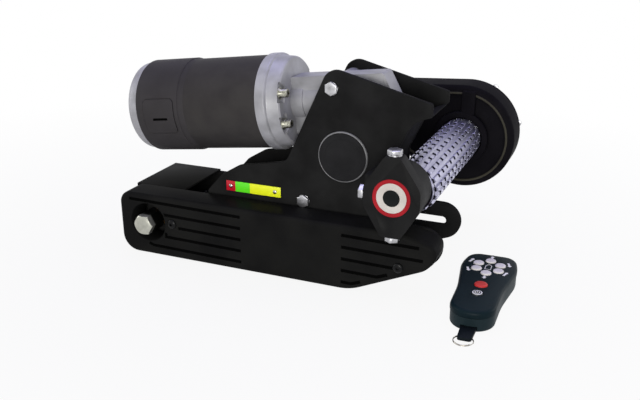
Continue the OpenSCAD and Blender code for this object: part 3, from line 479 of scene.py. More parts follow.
well_place = middle_of("hex_spindle")
well_place.y = cover_front
well_r = 0.020
groove_w = 0.0033
groove_depth = 0.0022
plain_left, plain_right = 0.011, 0.1165
groove_fall = math.tan(math.radians(0.8))
groove_rows = [cover_top - 0.0555 + 0.0119 * row for row in range(5)]
low_row, second_row, screw_row, fourth_row, top_row = groove_rows
groove_lines = [
    [(-0.096, low_row + 0.002), (-0.091, low_row), (plain_left, low_row)],
    [(-0.075, second_row + 0.0045), (-0.075, second_row), (plain_left, second_row)],
    [(-0.060, screw_row), (plain_left, screw_row)],
    [(-0.083, fourth_row + 0.0055), (-0.078, fourth_row), (plain_left, fourth_row)],
    [(-0.117, top_row), (plain_left, top_row)],
    [(plain_right, low_row), (0.127, low_row), (0.136, low_row + 0.0036)],
    [(plain_right, second_row), (0.152, second_row), (0.162, second_row + 0.004)],
    [(plain_right, screw_row), (0.167, screw_row)],
    [(plain_right, fourth_row), (0.195, fourth_row)],
    [(plain_right, top_row), (0.191, top_row)]]
groove_end = cover_front + groove_depth
# Each groove also gets a thin near-black strip on its floor: painted shade, so the grooves read dark.
groove_cutters, groove_shade_strips = [], []
for line in groove_lines:
    fallen = [(x, z - groove_fall * (x - plain_left)) for x, z in line]
    groove_cutters.append(cut_out("groove_cutter", ribbon(fallen, groove_w), cover_front - 0.001, groove_end))
    shade_strip_path = ribbon(fallen, groove_w - 0.0001)
    groove_shade_strips.append(cut_out("groove_shade_strip", shade_strip_path, groove_end - 0.0006, groove_end + 0.0001))
carve(front_cover, weld("groove_cutters", groove_cutters))
# A near-black matt plastic for the strips on the groove and slot floors: painted shade.
painted_shade_black = moulded_plastic("painted_groove_shade", (6, 6, 6), (10, 10, 10), 0.7, 0.85, 0.002)
settle(weld("painted_groove_shade_strips", groove_shade_strips), "base", "black_plastic", painted_shade_black)
well_mouth = turned("well_cutter", [(-0.001, well_r + 0.0012), (0.0008, well_r), (0.008, well_r)])
carve(front_cover, stand(well_mouth, well_place, rearward))
cover_plastic = moulded_plastic("black_cover_plastic", (23, 23, 23), (29, 29, 28), 0.28, 0.4, 0.006)
settle(front_cover, "base", "black_plastic", cover_plastic, "front_cover")


def spun_ring(name, profile, sides=96):
    """A ring spun about Z from a closed profile of radius and place along Z."""
    ring = drawn_circle(name, len(profile), fill="NOTHING")
    for corner, (radius, place) in zip(ring.data.vertices, profile):
        corner.co = (radius, 0.0, place)
    open_up()
    bpy.ops.mesh.spin(steps=sides, angle=2 * math.pi, center=(0.0, 0.0, 0.0), axis=(0.0, 0.0, 1.0))
    close_up(merge=True)
    return ring


def fit(piece, place, axis, edge, body, slot, finish, *nodes):
    """Stands a piece made along Z in its place, eases its edges and settles it."""
    ease(stand(piece, place, axis), edge)
    settle(piece, body, slot, finish, *nodes)


well_tube = spun_ring("wrench_well", [
    (well_r, 0.001), (well_r + 0.0015, 0.001), (well_r + 0.0015, 0.0225), (well_r - 0.001, 0.0225)])
fit(well_tube, well_place, rearward, 0.0003, "base", "black_plastic", cover_plastic)

# Drive cover: a flat black lid over the left end of the channel with a turned-down end wall.
# It is the same moulded plastic as the front cover and meets it flush along the top edge.


def recoat(node, name, edge, body, slot, finish, segments=2):
    """Shows a solid as a copy of itself with eased edges and a finish."""
    settle(eased_copy(node, name, edge, segments), body, slot, finish, node)


recoat("drive_cover", "drive_lid", 0.0019, "base", "black_plastic", cover_plastic, 4)

# Cover screws: two black button-head screws with a hexagon socket hold the front cover.
# They are steel, blackened and oiled, and go through moulded bosses into the side plate.


def socket_screw(name, steps, socket_r, socket_depth):
    """A turned screw with a hexagon socket in the end that was turned last."""
    screw = turned(name, steps, 40)
    ease(screw, 0.00025, 2, 40.0)
    top = steps[-1][0]
    socket = turned("socket_cutter", [(top - socket_depth, socket_r), (top + 0.001, socket_r)], 6)
    carve(screw, socket)
    return screw


screw_low, screw_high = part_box("cover_screws")
button_r = 0.005
button_steps = [(-0.030, 0.0021), (-0.029, 0.0025), (0.0, 0.0025), (0.0, button_r), (0.0009, button_r),
                (0.0017, 0.0044), (0.0022, 0.0034), (0.0024, 0.0024)]
blackened_steel = powder_coat("blackened_screw_steel", (10, 10, 11), (16, 16, 17), 0.18, 0.28, 0.12)
for side, screw_place in (("left", (screw_low.x + button_r, cover_front, screw_high.z - button_r)),
                          ("right", (screw_high.x - button_r, cover_front, screw_low.z + button_r))):
    cover_screw = socket_screw("cover_screw_" + side, button_steps, 0.0017, 0.0015)
    stand(cover_screw, screw_place, forward)
    settle(cover_screw, "base", "black_screw", blackened_steel, "cover_screws")

# Drive spindle: a hexagon bar with a pale end that a wrench turns from the front, running in a bronze bush.
# Its colour turns near black a few millimetres behind the end. Its bevel gear meets another on the lead
# screw.
mark_scale, mark_detail, mark_depth, mark_share = 30.0, 4.0, 0.000006, 0.4


def machined_metal(name, dark, light, stretch, low=0.24, high=0.38):
    """Machined metal: fine tool marks that run across the axis that stretch enlarges."""
    marks = (mark_scale, mark_detail, stretch)
    return surface(name, dark, light, (low, high), marks, marks, mark_depth, 1.0)


def along_axis(tree, vector, axis):
    """One coordinate of a vector, by the letter of its axis."""
    axes = tree.nodes.new("ShaderNodeSeparateXYZ")
    tree.links.new(vector, axes.inputs[0])
    return axes.outputs[axis]


hex_finish, hex_tree, hex_shader, hex_place = blank_finish("hexagon_steel")
hex_marks = grain(hex_tree, hex_place, mark_scale, mark_detail, (6.0, 30.0, 6.0))
# The bar's colour is pale at its front end and near black from a few millimetres further back.
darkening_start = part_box("hex_spindle")[0].y + 0.0060
darkening_end = darkening_start + 0.0030
black_share = spread(hex_tree, along_axis(hex_tree, hex_place, "Y"), darkening_start, darkening_end)
black_share = reckon(hex_tree, "MULTIPLY_ADD", hex_marks, mark_share, black_share)
tint(hex_tree, hex_shader, black_share,
     (0.12, (184, 184, 174)), (0.3, (158, 158, 148)), (0.9, (26, 26, 25)))
roughen(hex_tree, hex_shader, hex_marks, 0.3, 0.42)
emboss(hex_tree, hex_shader, hex_marks, mark_depth)
hex_shader.inputs["Metallic"].default_value = 0.8
recoat("hex_spindle", "drive_hexagon", 0.0003, "spindle", "bright_steel", hex_finish)


def dress(finish, *nodes):
    """Gives solids that stay as they are their material."""
    for node in nodes:
        skin = frame["nodes"][node].data.materials
        skin.clear()
        skin.append(finish)


bush_bronze = machined_metal("bush_bronze", (150, 110, 62), (186, 142, 86), (2.0, 40.0, 2.0))
dress(bush_bronze, "spindle_bush")
gear_steel = machined_metal(
    "dark_gear_steel", (92, 93, 97), (128, 129, 134), (12.0, 30.0, 12.0), 0.3, 0.45)
dress(gear_steel, "screw_supports", "spindle_bevel", "screw_bevel")

# Lead screw and nut: a trapezoid-thread steel screw between two supports moves a bronze nut, and
# with it the carriage. Guide pins with acetal washers run in the slots of the side plates.
screw_steel = machined_metal("bright_screw_steel", (165, 167, 172), (205, 206, 210), (40.0, 3.0, 3.0))
dress(screw_steel, "lead_screw", "guide_pins")
dress(bush_bronze, "lead_nut")
dress(moulded_plastic("glide_acetal", (196, 194, 186), (212, 210, 203), 0.4, 0.5), "glide_washers")

# Carriage plates: two laser-cut steel plates carry motor, gears and roller, with a bent guard sheet
# between them behind the roller. All three are powder coated black and bolted through a spacer.
for plate_node, plate_name, plate_edge in (
        ("near_plate", "near_carriage_plate", 0.0007), ("far_plate", "far_carriage_plate", 0.0007),
        ("tyre_guard", "bent_tyre_guard", 0.0006)):
    recoat(plate_node, plate_name, plate_edge, "carriage", "satin_black_steel", black_steel)
dress(machined_metal("spacer_steel", (100, 102, 106), (130, 132, 137), (3.0, 40.0, 3.0)), "cross_spacer")


def hex_bolt(name, place, axis, across, height, shank_r, shank_len):
    """A hexagon bolt: a head with a light chamfer, a washer face under it and its shank."""
    corner = across / math.sqrt(3)
    head = turned(name, [(0.0009, corner), (height - 0.0006, corner), (height, corner - 0.0008)], 6)
    ease(head, 0.0002)
    shank = turned(name + "_shank", [
        (-shank_len, shank_r), (0.0, shank_r), (0.0, across / 2 + 0.0003), (0.0010, across / 2 + 0.0003)], 40)
    ease(shank, 0.0002)
    return stand(weld(name, [head, shank]), place, axis)


zinc = machined_metal("bright_zinc", (160, 160, 163), (194, 194, 198), (6.0, 30.0, 6.0), 0.26, 0.4)
near_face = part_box("near_plate")[0].y
far_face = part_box("far_plate")[1].y
bolt_r = 0.004
bolt_across = 0.012
top_bolt_x, top_bolt_z = 0.09283, 0.18400
low_bolt_x, low_bolt_z = 0.0642, 0.0707
for bolt_name, bolt_place, bolt_way, head_h, bolt_len in (
        ("top_bolt_near", (top_bolt_x, near_face, top_bolt_z), forward, 0.0032, 0.016),
        ("top_bolt_far", (top_bolt_x, far_face, top_bolt_z), rearward, 0.0032, 0.016),
        ("low_bolt", (low_bolt_x, near_face, low_bolt_z), forward, 0.0042, far_face - near_face),
        ("low_nut", (low_bolt_x, far_face, low_bolt_z), rearward, 0.0040, 0.001)):
    plate_bolt = hex_bolt(bolt_name, bolt_place, bolt_way, bolt_across, head_h, bolt_r, bolt_len)
    settle(plate_bolt, "carriage", "zinc_bolts", zinc, "plate_bolts")

# Position strip: a thin printed strip in red, green and yellow on the near plate, held by two small
# rivets. It shows how far the carriage has moved against the edge of the front cover.
strip_low, strip_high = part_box("gauge_strip")
strip_zones = [(0.0, (190, 16, 38)), (0.17, (96, 232, 36)), (0.44, (238, 246, 30))]
strip_print, strip_tree, strip_shader, strip_place = blank_finish("printed_strip")
strip_share = spread(strip_tree, along_axis(strip_tree, strip_place, "X"), strip_low.x, strip_high.x)
tint(strip_tree, strip_shader, strip_share, *strip_zones).interpolation = "CONSTANT"
strip_film = grain(strip_tree, strip_place, 300.0)
roughen(strip_tree, strip_shader, strip_film, 0.3, 0.42)
emboss(strip_tree, strip_shader, strip_film, 0.00001)
recoat("gauge_strip", "position_strip", 0.0002, "carriage", "strip", strip_print)
rivet_steel = machined_metal("rivet_steel", (120, 118, 112), (190, 188, 180), (20.0, 20.0, 20.0))
rivet_z = (strip_low.z + strip_high.z) / 2
rivet_steps = [(-0.0012, 0.0016), (0.0, 0.0016), (0.0, 0.0022), (0.0006, 0.0020), (0.0010, 0.0013),
               (0.0012, 0.0006)]
for side, rivet_x in (("left", strip_low.x + 0.0052), ("right", strip_high.x - 0.0062)):
    rivet = turned("strip_rivet_" + side, rivet_steps, 24)
    stand(rivet, (rivet_x, strip_low.y, rivet_z), forward)
    ease(rivet, 0.0001, 1, 50.0)
    settle(rivet, "carriage", "bright_steel", rivet_steel)

# Bearing cap: a pressed black disc with a stepped face that closes the bearing of the cross shaft
# on the near plate. A thin polished ring round it catches the light.
cap_low, cap_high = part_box("bearing_cap")
disc_r = (cap_high.x - cap_low.x) / 2
disc_h = 0.002
disc_place = middle_of("bearing_cap")
disc_place.y = cap_low.y + disc_h
bearing_disc = turned("bearing_cap_disc", [
    (disc_place.y - cap_high.y, 0.0185), (0.0, 0.0185), (0.0, disc_r - 0.0006), (0.0014, disc_r - 0.0006),
    (0.0019, disc_r - 0.0012), (0.0019, 0.0180), (0.0014, 0.0174), (0.0014, 0.0100)])
disc_paint = powder_coat("bearing_cap_paint", (34, 34, 35), (41, 41, 42))
fit(bearing_disc, disc_place, forward, 0.0002, "carriage", "satin_black_steel", disc_paint, "bearing_cap")
disc_rim = spun_ring("bearing_cap_rim", [
    (disc_r - 0.0008, 0.0), (disc_r + 0.0005, 0.0), (disc_r + 0.0003, 0.0012), (disc_r - 0.0004, disc_h),
    (disc_r - 0.0008, disc_h)])


def cast_metal(name, dark, light, low=0.4, high=0.52, depth=0.00005):
    """Bead-blasted casting: a soft tone with fine pits."""
    return surface(name, dark, light, (low, high), (60.0,), (700.0, 2.0), depth, 0.2, 0.25)


rim_steel = cast_metal("rim_steel", (112, 112, 113), (138, 138, 139), 0.3, 0.42)
fit(disc_rim, disc_place, forward, 0.00015, "carriage", "bearing_steel", rim_steel)

# Gearbox case: a cast aluminium block with a narrow ridge over the worm and a round housing for the
# worm wheel, bolted between the two plates. Its faces keep the fine grain of the casting.
cast_aluminium = cast_metal("cast_aluminium", (136, 136, 139), (154, 154, 158))
recoat("gearbox_case", "cast_gearbox_case", 0.0009, "carriage", "cast_aluminium", cast_aluminium, 3)

# Motor flange: a cast and turned aluminium end bell with stepped rings, the largest over the can.
# Four socket-head screws with washers in shallow open pockets hold it to the gearbox.
armature_spin = next(joint for joint in frame["joints"] if joint["name"] == "armature_spin")
motor_place = Vector(armature_spin["pos_m"])
motor_axis = Vector(armature_spin["axis"]).normalized()
to_front = Vector(forward)
motor_up = to_front.cross(motor_axis).normalized()


def along_motor(node):
    """First and last place along the motor's axis and the greatest radius of a solid."""
    spots = [corner.co - motor_place for corner in frame["nodes"][node].data.vertices]
    places = [spot.dot(motor_axis) for spot in spots]
    radii = [(spot - motor_axis * place).length for spot, place in zip(spots, places)]
    return min(places), max(places), max(radii)


def motor_spot(place, turn, radius):
    """A point by its place along the motor, its turn from the top towards the front and its radius."""
    lean = math.radians(turn)
    return motor_place + motor_axis * place + (motor_up * math.cos(lean) + to_front * math.sin(lean)) * radius


can_start, can_end, can_r = along_motor("motor_can")
flange_end = along_motor("motor_flange")[1]
flange_r = along_motor("motor_flange")[2]
step_start = flange_end - 0.0135
motor_flange = turned("stepped_motor_flange", [
    (can_end, flange_r), (step_start - 0.0012, flange_r), (step_start, flange_r - 0.0012),
    (step_start + 0.0003, flange_r - 0.0022), (step_start + 0.0012, flange_r - 0.0026),
    (flange_end - 0.0016, flange_r - 0.0039), (flange_end, flange_r - 0.0054)], 128)
pocket_turns = (67.5, 112.5, -67.5, -112.5)
pocket_ring = 0.038
pocket_floor = flange_end - 0.0019
pocket_shape = [(-0.0075, 0.0305), (0.0075, 0.0305), (0.0115, 0.0500), (-0.0115, 0.0500)]
stand(motor_flange, motor_place, motor_axis)
ease(motor_flange, 0.0004, 3, 20.0)
for pocket_turn in pocket_turns:
    outward = motor_spot(0.0, pocket_turn, 1.0) - motor_place
    pocket = cut_out("pocket_cutter", pocket_shape, pocket_floor, flange_end + 0.010)
    pocket_turned = Matrix((motor_axis.cross(outward), motor_axis, outward)).transposed().to_4x4()
    pocket.data.transform(Matrix.Translation(motor_place) @ pocket_turned)
    carve(motor_flange, pocket)
bearing_r = along_motor("motor_bearings")[2]
bearing_play, shaft_bore_r = 0.00005, 0.009
bearing_places = [(corner.co - motor_place).dot(motor_axis)
                  for corner in frame["nodes"]["motor_bearings"].data.vertices]
flange_bearing = [place for place in bearing_places if can_end < place < flange_end]
flange_bore = turned("flange_bore", [
    (can_end - 0.005, shaft_bore_r), (min(flange_bearing), shaft_bore_r),
    (min(flange_bearing), bearing_r + bearing_play), (max(flange_bearing), bearing_r + bearing_play),
    (max(flange_bearing), shaft_bore_r), (flange_end + 0.005, shaft_bore_r)])
carve(motor_flange, stand(flange_bore, motor_place, motor_axis))
turned_aluminium = cast_metal("turned_aluminium", (146, 146, 149), (164, 164, 168), 0.34, 0.46, 0.00003)
settle(motor_flange, "carriage", "cast_aluminium", turned_aluminium, "motor_flange")
head_steps = [(-0.010, 0.0022), (0.0, 0.0022), (0.0, 0.0056), (0.0012, 0.0056), (0.0012, 0.0047),
              (0.0022, 0.0047), (0.0022, 0.0041), (0.0084, 0.0041), (0.0090, 0.0036)]
plated_steel = machined_metal("plated_screw_steel", (120, 119, 108), (186, 185, 172), (25.0, 8.0, 25.0))
for number, pocket_turn in enumerate(pocket_turns):
    flange_screw = socket_screw("flange_screw_" + str(number), head_steps, 0.0024, 0.003)
    stand(flange_screw, motor_spot(pocket_floor, pocket_turn, pocket_ring), motor_axis)
    settle(flange_screw, "carriage", "bright_steel", plated_steel, "flange_screws")

# Motor can: a drawn steel tube sprayed dark satin grey, pressed over the flange at one end and
# under the brush band at the other. The magnets sit inside it.
motor_can = spun_ring("painted_motor_can", [
    (can_r - 0.003, can_start), (can_r, can_start),
    (can_r, can_end - 0.0008), (can_r - 0.0008, can_end), (can_r - 0.003, can_end)], 128)
stand(motor_can, motor_place, motor_axis)
smooth(motor_can, 30.0)
can_paint = powder_coat("dark_motor_paint", (52, 50, 50), (59, 57, 56), 0.44, 0.56, 0.04)
settle(motor_can, "carriage", "motor_paint", can_paint, "motor_can")

# Brush band: a moulded dark cover round the brushes, a little larger than the can, with a raised
# rounded patch and a narrow slot on the front. It is closed by the silver end cap.
band_start, band_end = along_motor("brush_band")[:2]
collar_start = can_start - 0.006
band_r = can_r + 0.0013
brush_band = spun_ring("moulded_brush_band", [
    (band_r - 0.0034, band_start), (band_r - 0.0005, band_start), (band_r, band_start + 0.0005),
    (band_r, collar_start - 0.0006), (can_r + 0.0005, collar_start), (can_r + 0.00002, band_end),
    (can_r - 0.0034, band_end), (can_r - 0.0034, collar_start),
    (band_r - 0.0034, collar_start - 0.002)], 160)
patch_middle = (band_start + collar_start) / 2 + 0.002
patch_len, patch_h, patch_corner = 0.0350, 0.0345, 0.0045
patch_turn = 93.0


def oblong(left, low, right, high):
    """The outline of a rectangle."""
    return [(left, low), (right, low), (right, high), (left, high)]


def patch_block(name, grow, inner, outer):
    """A rounded block over the band's front, cut to the band's curve between two radii."""
    half_len, half_h = patch_len / 2 + grow, patch_h / 2 + grow
    corner = patch_corner + grow
    shape = [(x, z, corner) for x, z in oblong(-half_h, -half_len, half_h, half_len)]
    block = cut_out(name, rounded(shape), 0.02, 0.06)
    ring = spun_ring(name + "_curve", oblong(inner, -0.03, outer, 0.03), 160)
    carve(block, ring, "INTERSECT")
    block.data.transform(Matrix.Rotation(math.radians(patch_turn), 4, "Z"))
    return stand(block, motor_place + motor_axis * patch_middle, motor_axis)


stand(brush_band, motor_place, motor_axis)
carve(brush_band, patch_block("patch_groove", 0.0007, band_r - 0.0007, band_r + 0.003))
band_patch = patch_block("band_patch", 0.0, band_r - 0.002, band_r + 0.0007)
slot_turn = patch_turn + 3.0
slot_middle = motor_spot(patch_middle + 0.001, slot_turn, band_r)
slot_half_w, slot_half_len, slot_corner = 0.0013, 0.0085, 0.0006


def slot_block(name, play, low, high):
    """A block of the slot's outline, smaller by some play, between two heights over the band."""
    across, along = slot_half_w - play, slot_half_len - play
    shape = [(x, z, slot_corner) for x, z in oblong(-across, -along, across, along)]
    block = cut_out(name, rounded(shape, 3), low, high)
    block.data.transform(Matrix.Rotation(math.radians(slot_turn), 4, "Z"))
    return stand(block, slot_middle, motor_axis)


carve(band_patch, slot_block("slot_cutter", 0.0, -0.0025, 0.003))
# A near-black strip at the bottom of the slot: painted shade.
settle(slot_block("painted_slot_shade", 0.00003, -0.0012, -0.0003), "carriage", "black_plastic", painted_shade_black)
band_plastic = moulded_plastic("band_plastic", (54, 52, 53), (60, 58, 59), 0.46, 0.58, 0.04)
settle(brush_band, "carriage", "black_plastic", band_plastic, "brush_band")
settle(band_patch, "carriage", "black_plastic", band_plastic)

# Motor end cap: a turned aluminium cover with a rounded rim and a shallow recess in its face.
# It plugs into the brush band and holds the rear bearing.
end_start, plug_start = along_motor("motor_end_cap")[:2]
rear_seat = along_motor("motor_bearings")[0]
end_r = band_r - 0.0027
end_cap = turned("motor_rear_cap", [
    (rear_seat, bearing_r + bearing_play), (plug_start, bearing_r + bearing_play),
    (plug_start, band_r - 0.0036), (band_start, band_r - 0.0036), (band_start, end_r),
    (end_start + 0.0035, end_r), (end_start + 0.0022, end_r - 0.0006), (end_start + 0.0009, end_r - 0.0018),
    (end_start, end_r - 0.004), (end_start, 0.036), (end_start + 0.0012, 0.0350),
    (end_start + 0.0012, 0.0170), (end_start + 0.0002, 0.0160), (end_start + 0.0002, 0.0080),
    (end_start + 0.0012, 0.0070)], 128)
fit(end_cap, motor_place, motor_axis, 0.0003, "carriage", "cast_aluminium", turned_aluminium, "motor_end_cap")

# Inside the motor: curved magnets, an armature of steel sheets with copper wire, its commutator,
# brushes in a carrier of brown board, and three ball bearings on a ground shaft.
dress(cast_metal("magnet_ferrite", (40, 40, 42), (56, 56, 58), 0.5, 0.65), "magnets")
dress(machined_metal("winding_copper", (150, 84, 48), (196, 122, 76), (60.0, 4.0, 4.0)), "armature")
dress(moulded_plastic("brush_carrier_board", (82, 62, 42), (102, 80, 56), 0.5, 0.62), "brush_holder")
bearing_steel = machined_metal(
    "bearing_steel", (160, 162, 167), (196, 198, 202), (10.0, 30.0, 10.0), 0.18, 0.3)
dress(bearing_steel, "motor_bearings", "shaft_bearings", "roller_bearings")
dress(screw_steel, "motor_shaft")

# Gear train: a steel worm turns a bronze worm wheel on the cross shaft, whose pinion turns the large
# gear of the roller. They run in grease inside the case, the tube and the casing.
dress(gear_steel, "worm", "drive_pinion", "roller_gear")
dress(machined_metal("wheel_bronze", (164, 122, 66), (202, 158, 96), (14.0, 30.0, 14.0)), "worm_wheel")
shaft_steel = machined_metal(
    "ground_shaft_steel", (160, 162, 166), (196, 198, 202), (3.0, 40.0, 3.0), 0.18, 0.3)
dress(shaft_steel, "cross_shaft", "roller_shaft", "roller_axle")
recoat("shaft_tube", "cross_shaft_tube", 0.0007, "carriage", "satin_black_steel", black_steel)

# Drive roller: an extruded aluminium tube with sixteen narrow ribs along it and a plain collar at its
# near end. Saw cuts across the ribs leave rows of teeth, whose sawn ends are painted dark as shade.
roller_low, roller_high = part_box("drive_roller")
roller_x = (roller_low.x + roller_high.x) / 2
roller_z = (roller_low.z + roller_high.z) / 2
roller_r = (roller_high.x - roller_low.x) / 2
roller_len = roller_high.y - roller_low.y
roller_start = Vector((roller_x, roller_low.y, roller_z))
rib_count = 16
rib_depth = 0.0022
rib_crest, rib_root = 0.0018, 0.0025
collar_len = 0.006
first_rib = math.radians(39.0)
core_r = roller_r - rib_depth
roller_bore = 0.015
near_seat_r, near_seat_len = 0.01755, 0.0119
shaft_seat_r, shaft_seat_len = 0.01005, 0.042
roller_core = spun_ring("notched_roller", [
    (near_seat_r, 0.0), (core_r - 0.0009, 0.0), (core_r - 0.0004, 0.0005), (core_r - 0.0004, collar_len),
    (core_r, collar_len), (core_r, roller_len - 0.0005), (core_r - 0.0005, roller_len),
    (shaft_seat_r, roller_len), (shaft_seat_r, roller_len - shaft_seat_len),
    (roller_bore, roller_len - shaft_seat_len),
    (roller_bore, near_seat_len), (near_seat_r, near_seat_len)])
stand(roller_core, roller_start, rearward)
smooth(roller_core, 30.0)
roller_rib = cut_out("roller_rib", [
    (-rib_root, core_r - 0.0006), (rib_root, core_r - 0.0006), (rib_crest, roller_r - 0.0001),
    (-rib_crest, roller_r - 0.0001)], collar_len, roller_len)
cut_count = 11
first_cut, cut_pitch, cut_w = 0.0175, 0.0144, 0.0050
cut_shape = oblong(-0.004, core_r + 0.0002, 0.004, roller_r + 0.001)
saw_cuts = []
for number in range(cut_count):
    cut_y = first_cut + number * cut_pitch
    saw_cuts.append(cut_out("saw_cut", cut_shape, cut_y, cut_y + cut_w))
carve(roller_rib, weld("saw_cuts", saw_cuts))
for rib_end in (collar_len, roller_len):
    round_over(roller_rib, lambda corner: abs(corner.y - rib_end) < 1e-6 and corner.z > core_r, 0.0012, 1)
ease(roller_rib, 0.0002, 1, 40.0)
ribs = []
for number in range(rib_count):
    rib = copy_of("rib_" + str(number), roller_rib.data)
    rib_turn = Matrix.Rotation(first_rib + 2 * math.pi * number / rib_count, 4, "Y")
    rib.data.transform(Matrix.Translation(roller_start) @ rib_turn)
    ribs.append(rib)
bpy.data.objects.remove(roller_rib)
drive_roller = weld("notched_roller", [roller_core] + ribs)
roller_aluminium, roller_tree, roller_shader, roller_place = blank_finish("roller_aluminium")
# Faces that look along the roller, the sawn ends of the teeth, turn near black: painted shade, with tool
# marks mixed in.
face_way = roller_tree.nodes.new("ShaderNodeTexCoord").outputs["Normal"]
sawn = reckon(roller_tree, "POWER", along_axis(roller_tree, face_way, "Y"), 4.0)
roller_marks = grain(roller_tree, roller_place, mark_scale, mark_detail, (8.0, 1.5, 8.0))
sawn_shade_and_marks = reckon(roller_tree, "MULTIPLY_ADD", roller_marks, mark_share, sawn)
# The pale shades carry a lavender cast: a painted reflection of the overhead lamp's tint.
tint(roller_tree, roller_shader, sawn_shade_and_marks,
     (0.12, (186, 185, 206)), (0.28, (158, 157, 182)), (0.75, (24, 23, 30)))
roughen(roller_tree, roller_shader, roller_marks, 0.26, 0.38)
emboss(roller_tree, roller_shader, roller_marks, mark_depth)
roller_shader.inputs["Metallic"].default_value = 0.9
settle(drive_roller, "roller", "roller_aluminium", roller_aluminium, "drive_roller")

# Roller end cap: a black cast cap with tapered ends carries the near end of the roller. Three zinc
# bolts go in from its edge, and a round disc with a red ring sits in a shallow recess of its face.
end_low, end_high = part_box("roller_end_cap")
badge_place = Vector((roller_x - 0.0072, end_low.y, (end_low.z + end_high.z) / 2))
end_cap_shell = eased_copy("roller_end_cap", "roller_end_cap_shell", 0.0014, 3)
badge_r = 0.0172
badge_depth = 0.0006
recess = turned("recess_cutter", [(-0.001, badge_r + 0.0002), (badge_depth, badge_r + 0.0002)])
carve(end_cap_shell, stand(recess, badge_place, rearward))
end_cap_paint = powder_coat("end_cap_paint", (23, 23, 23), (30, 30, 30), 0.46, 0.6, 0.06)
settle(end_cap_shell, "carriage", "satin_black_steel", end_cap_paint, "roller_end_cap")
badge_base = badge_place + Vector((0.0, badge_depth, 0.0))
badge_ring = spun_ring("badge_red_ring", oblong(0.0138, 0.0, badge_r, 0.0005))
badge_field = turned("badge_pale_field", [
    (0.0, 0.0137), (0.0004, 0.0137), (0.0004, 0.0080), (0.0002, 0.0078)])
badge_hub = turned("badge_dark_hub", [
    (0.0, 0.0076), (0.0005, 0.0076), (0.0005, 0.0050), (0.0003, 0.0048)])
badge_red = moulded_plastic("badge_red", (150, 32, 40), (172, 42, 48), 0.4, 0.5)
badge_pale = moulded_plastic("badge_pale", (196, 190, 182), (214, 208, 200), 0.4, 0.5)
badge_dark = moulded_plastic("badge_dark", (26, 28, 28), (36, 38, 38), 0.4, 0.5)
for badge, badge_finish, badge_slot in (
        (badge_ring, badge_red, "red_key"), (badge_field, badge_pale, "pale_key"),
        (badge_hub, badge_dark, "dark_key")):
    fit(badge, badge_base, forward, 0.0001, "carriage", badge_slot, badge_finish)
bolt_middle = Vector((badge_place.x, end_low.y + 0.00735, badge_place.z))
cap_up, cap_side = 0.037, 0.026
for side, cap_bolt_way, cap_bolt_reach in (
        ("top", (0.0, 0.0, 1.0), cap_up), ("bottom", (0.0, 0.0, -1.0), cap_up),
        ("left", (-1.0, 0.0, 0.0), cap_side)):
    cap_bolt_place = bolt_middle + Vector(cap_bolt_way) * cap_bolt_reach
    cap_bolt = hex_bolt("cap_bolt_" + side, cap_bolt_place, cap_bolt_way, bolt_across, 0.0055, 0.003, 0.008)
    settle(cap_bolt, "carriage", "zinc_bolts", zinc, "cap_bolts")

# Gear casing: a deep black moulded housing round the roller's gears, with a broad rounded rim, a
# bead inside it, a raised ring round the roller's end and a short rib. Its lid is bolted on behind.
casing_low, casing_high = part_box("gear_casing")
pinion_middle = middle_of("drive_pinion").xz
roller_middle = Vector((roller_x, roller_z))
rib_front = casing_low.y
casing_front = rib_front + 0.006
lid_front = casing_high.y
casing_r = casing_high.x - roller_x
casing_small_r = 0.0337


def casing_outline(inset=0.0, steps=40):
    """Two arcs, round the roller's gear and round the pinion, joined by their tangents."""
    reach = roller_middle - pinion_middle
    lean = math.acos((casing_r - casing_small_r) / reach.length)
    facing = math.atan2(-reach.y, -reach.x)
    path = []
    for centre, radius, start, sweep in (
            (roller_middle, casing_r, facing + lean, 2 * math.pi - 2 * lean),
            (pinion_middle, casing_small_r, facing - lean, 2 * lean)):
        for step in range(steps + 1):
            angle = start + sweep * step / steps
            path.append(centre + Vector((math.cos(angle), math.sin(angle))) * (radius - inset))
    return path


casing = cut_out("rounded_gear_casing", casing_outline(), casing_front, lid_front)
round_over(casing, at_y(casing_front), 0.0065, 6)
pick(casing, "FACE", at_y(casing_front))
bpy.ops.mesh.inset(thickness=0.0016)
bpy.ops.mesh.inset(thickness=0.0034, depth=-0.0024)
bpy.ops.mesh.inset(thickness=0.0016)
bpy.ops.object.mode_set(mode="OBJECT")
hollow(casing, at_y(lid_front), 0.004, casing_front + 0.005 - lid_front)
for bore_at, bore_r in ((roller_middle, 0.0212), (pinion_middle, 0.0100)):
    bore = turned("bore_cutter", [(-0.01, bore_r), (0.01, bore_r)], 64)
    carve(casing, stand(bore, (bore_at.x, casing_front, bore_at.y), rearward))
ease(casing, 0.0005, 2, 35.0)
casing_plastic = moulded_plastic("casing_plastic", (20, 19, 22), (26, 25, 28), 0.36, 0.48, 0.004)
settle(casing, "carriage", "casing_plastic", casing_plastic, "gear_casing")
casing_bead = cut_out("casing_bead", casing_outline(0.0068), casing_front - 0.0008, casing_front + 0.0040)
bead_middle = cut_out("bead_cutter", casing_outline(0.0092), casing_front - 0.002, casing_front + 0.006)
carve(casing_bead, bead_middle)
ease(casing_bead, 0.0009, 3, 60.0)
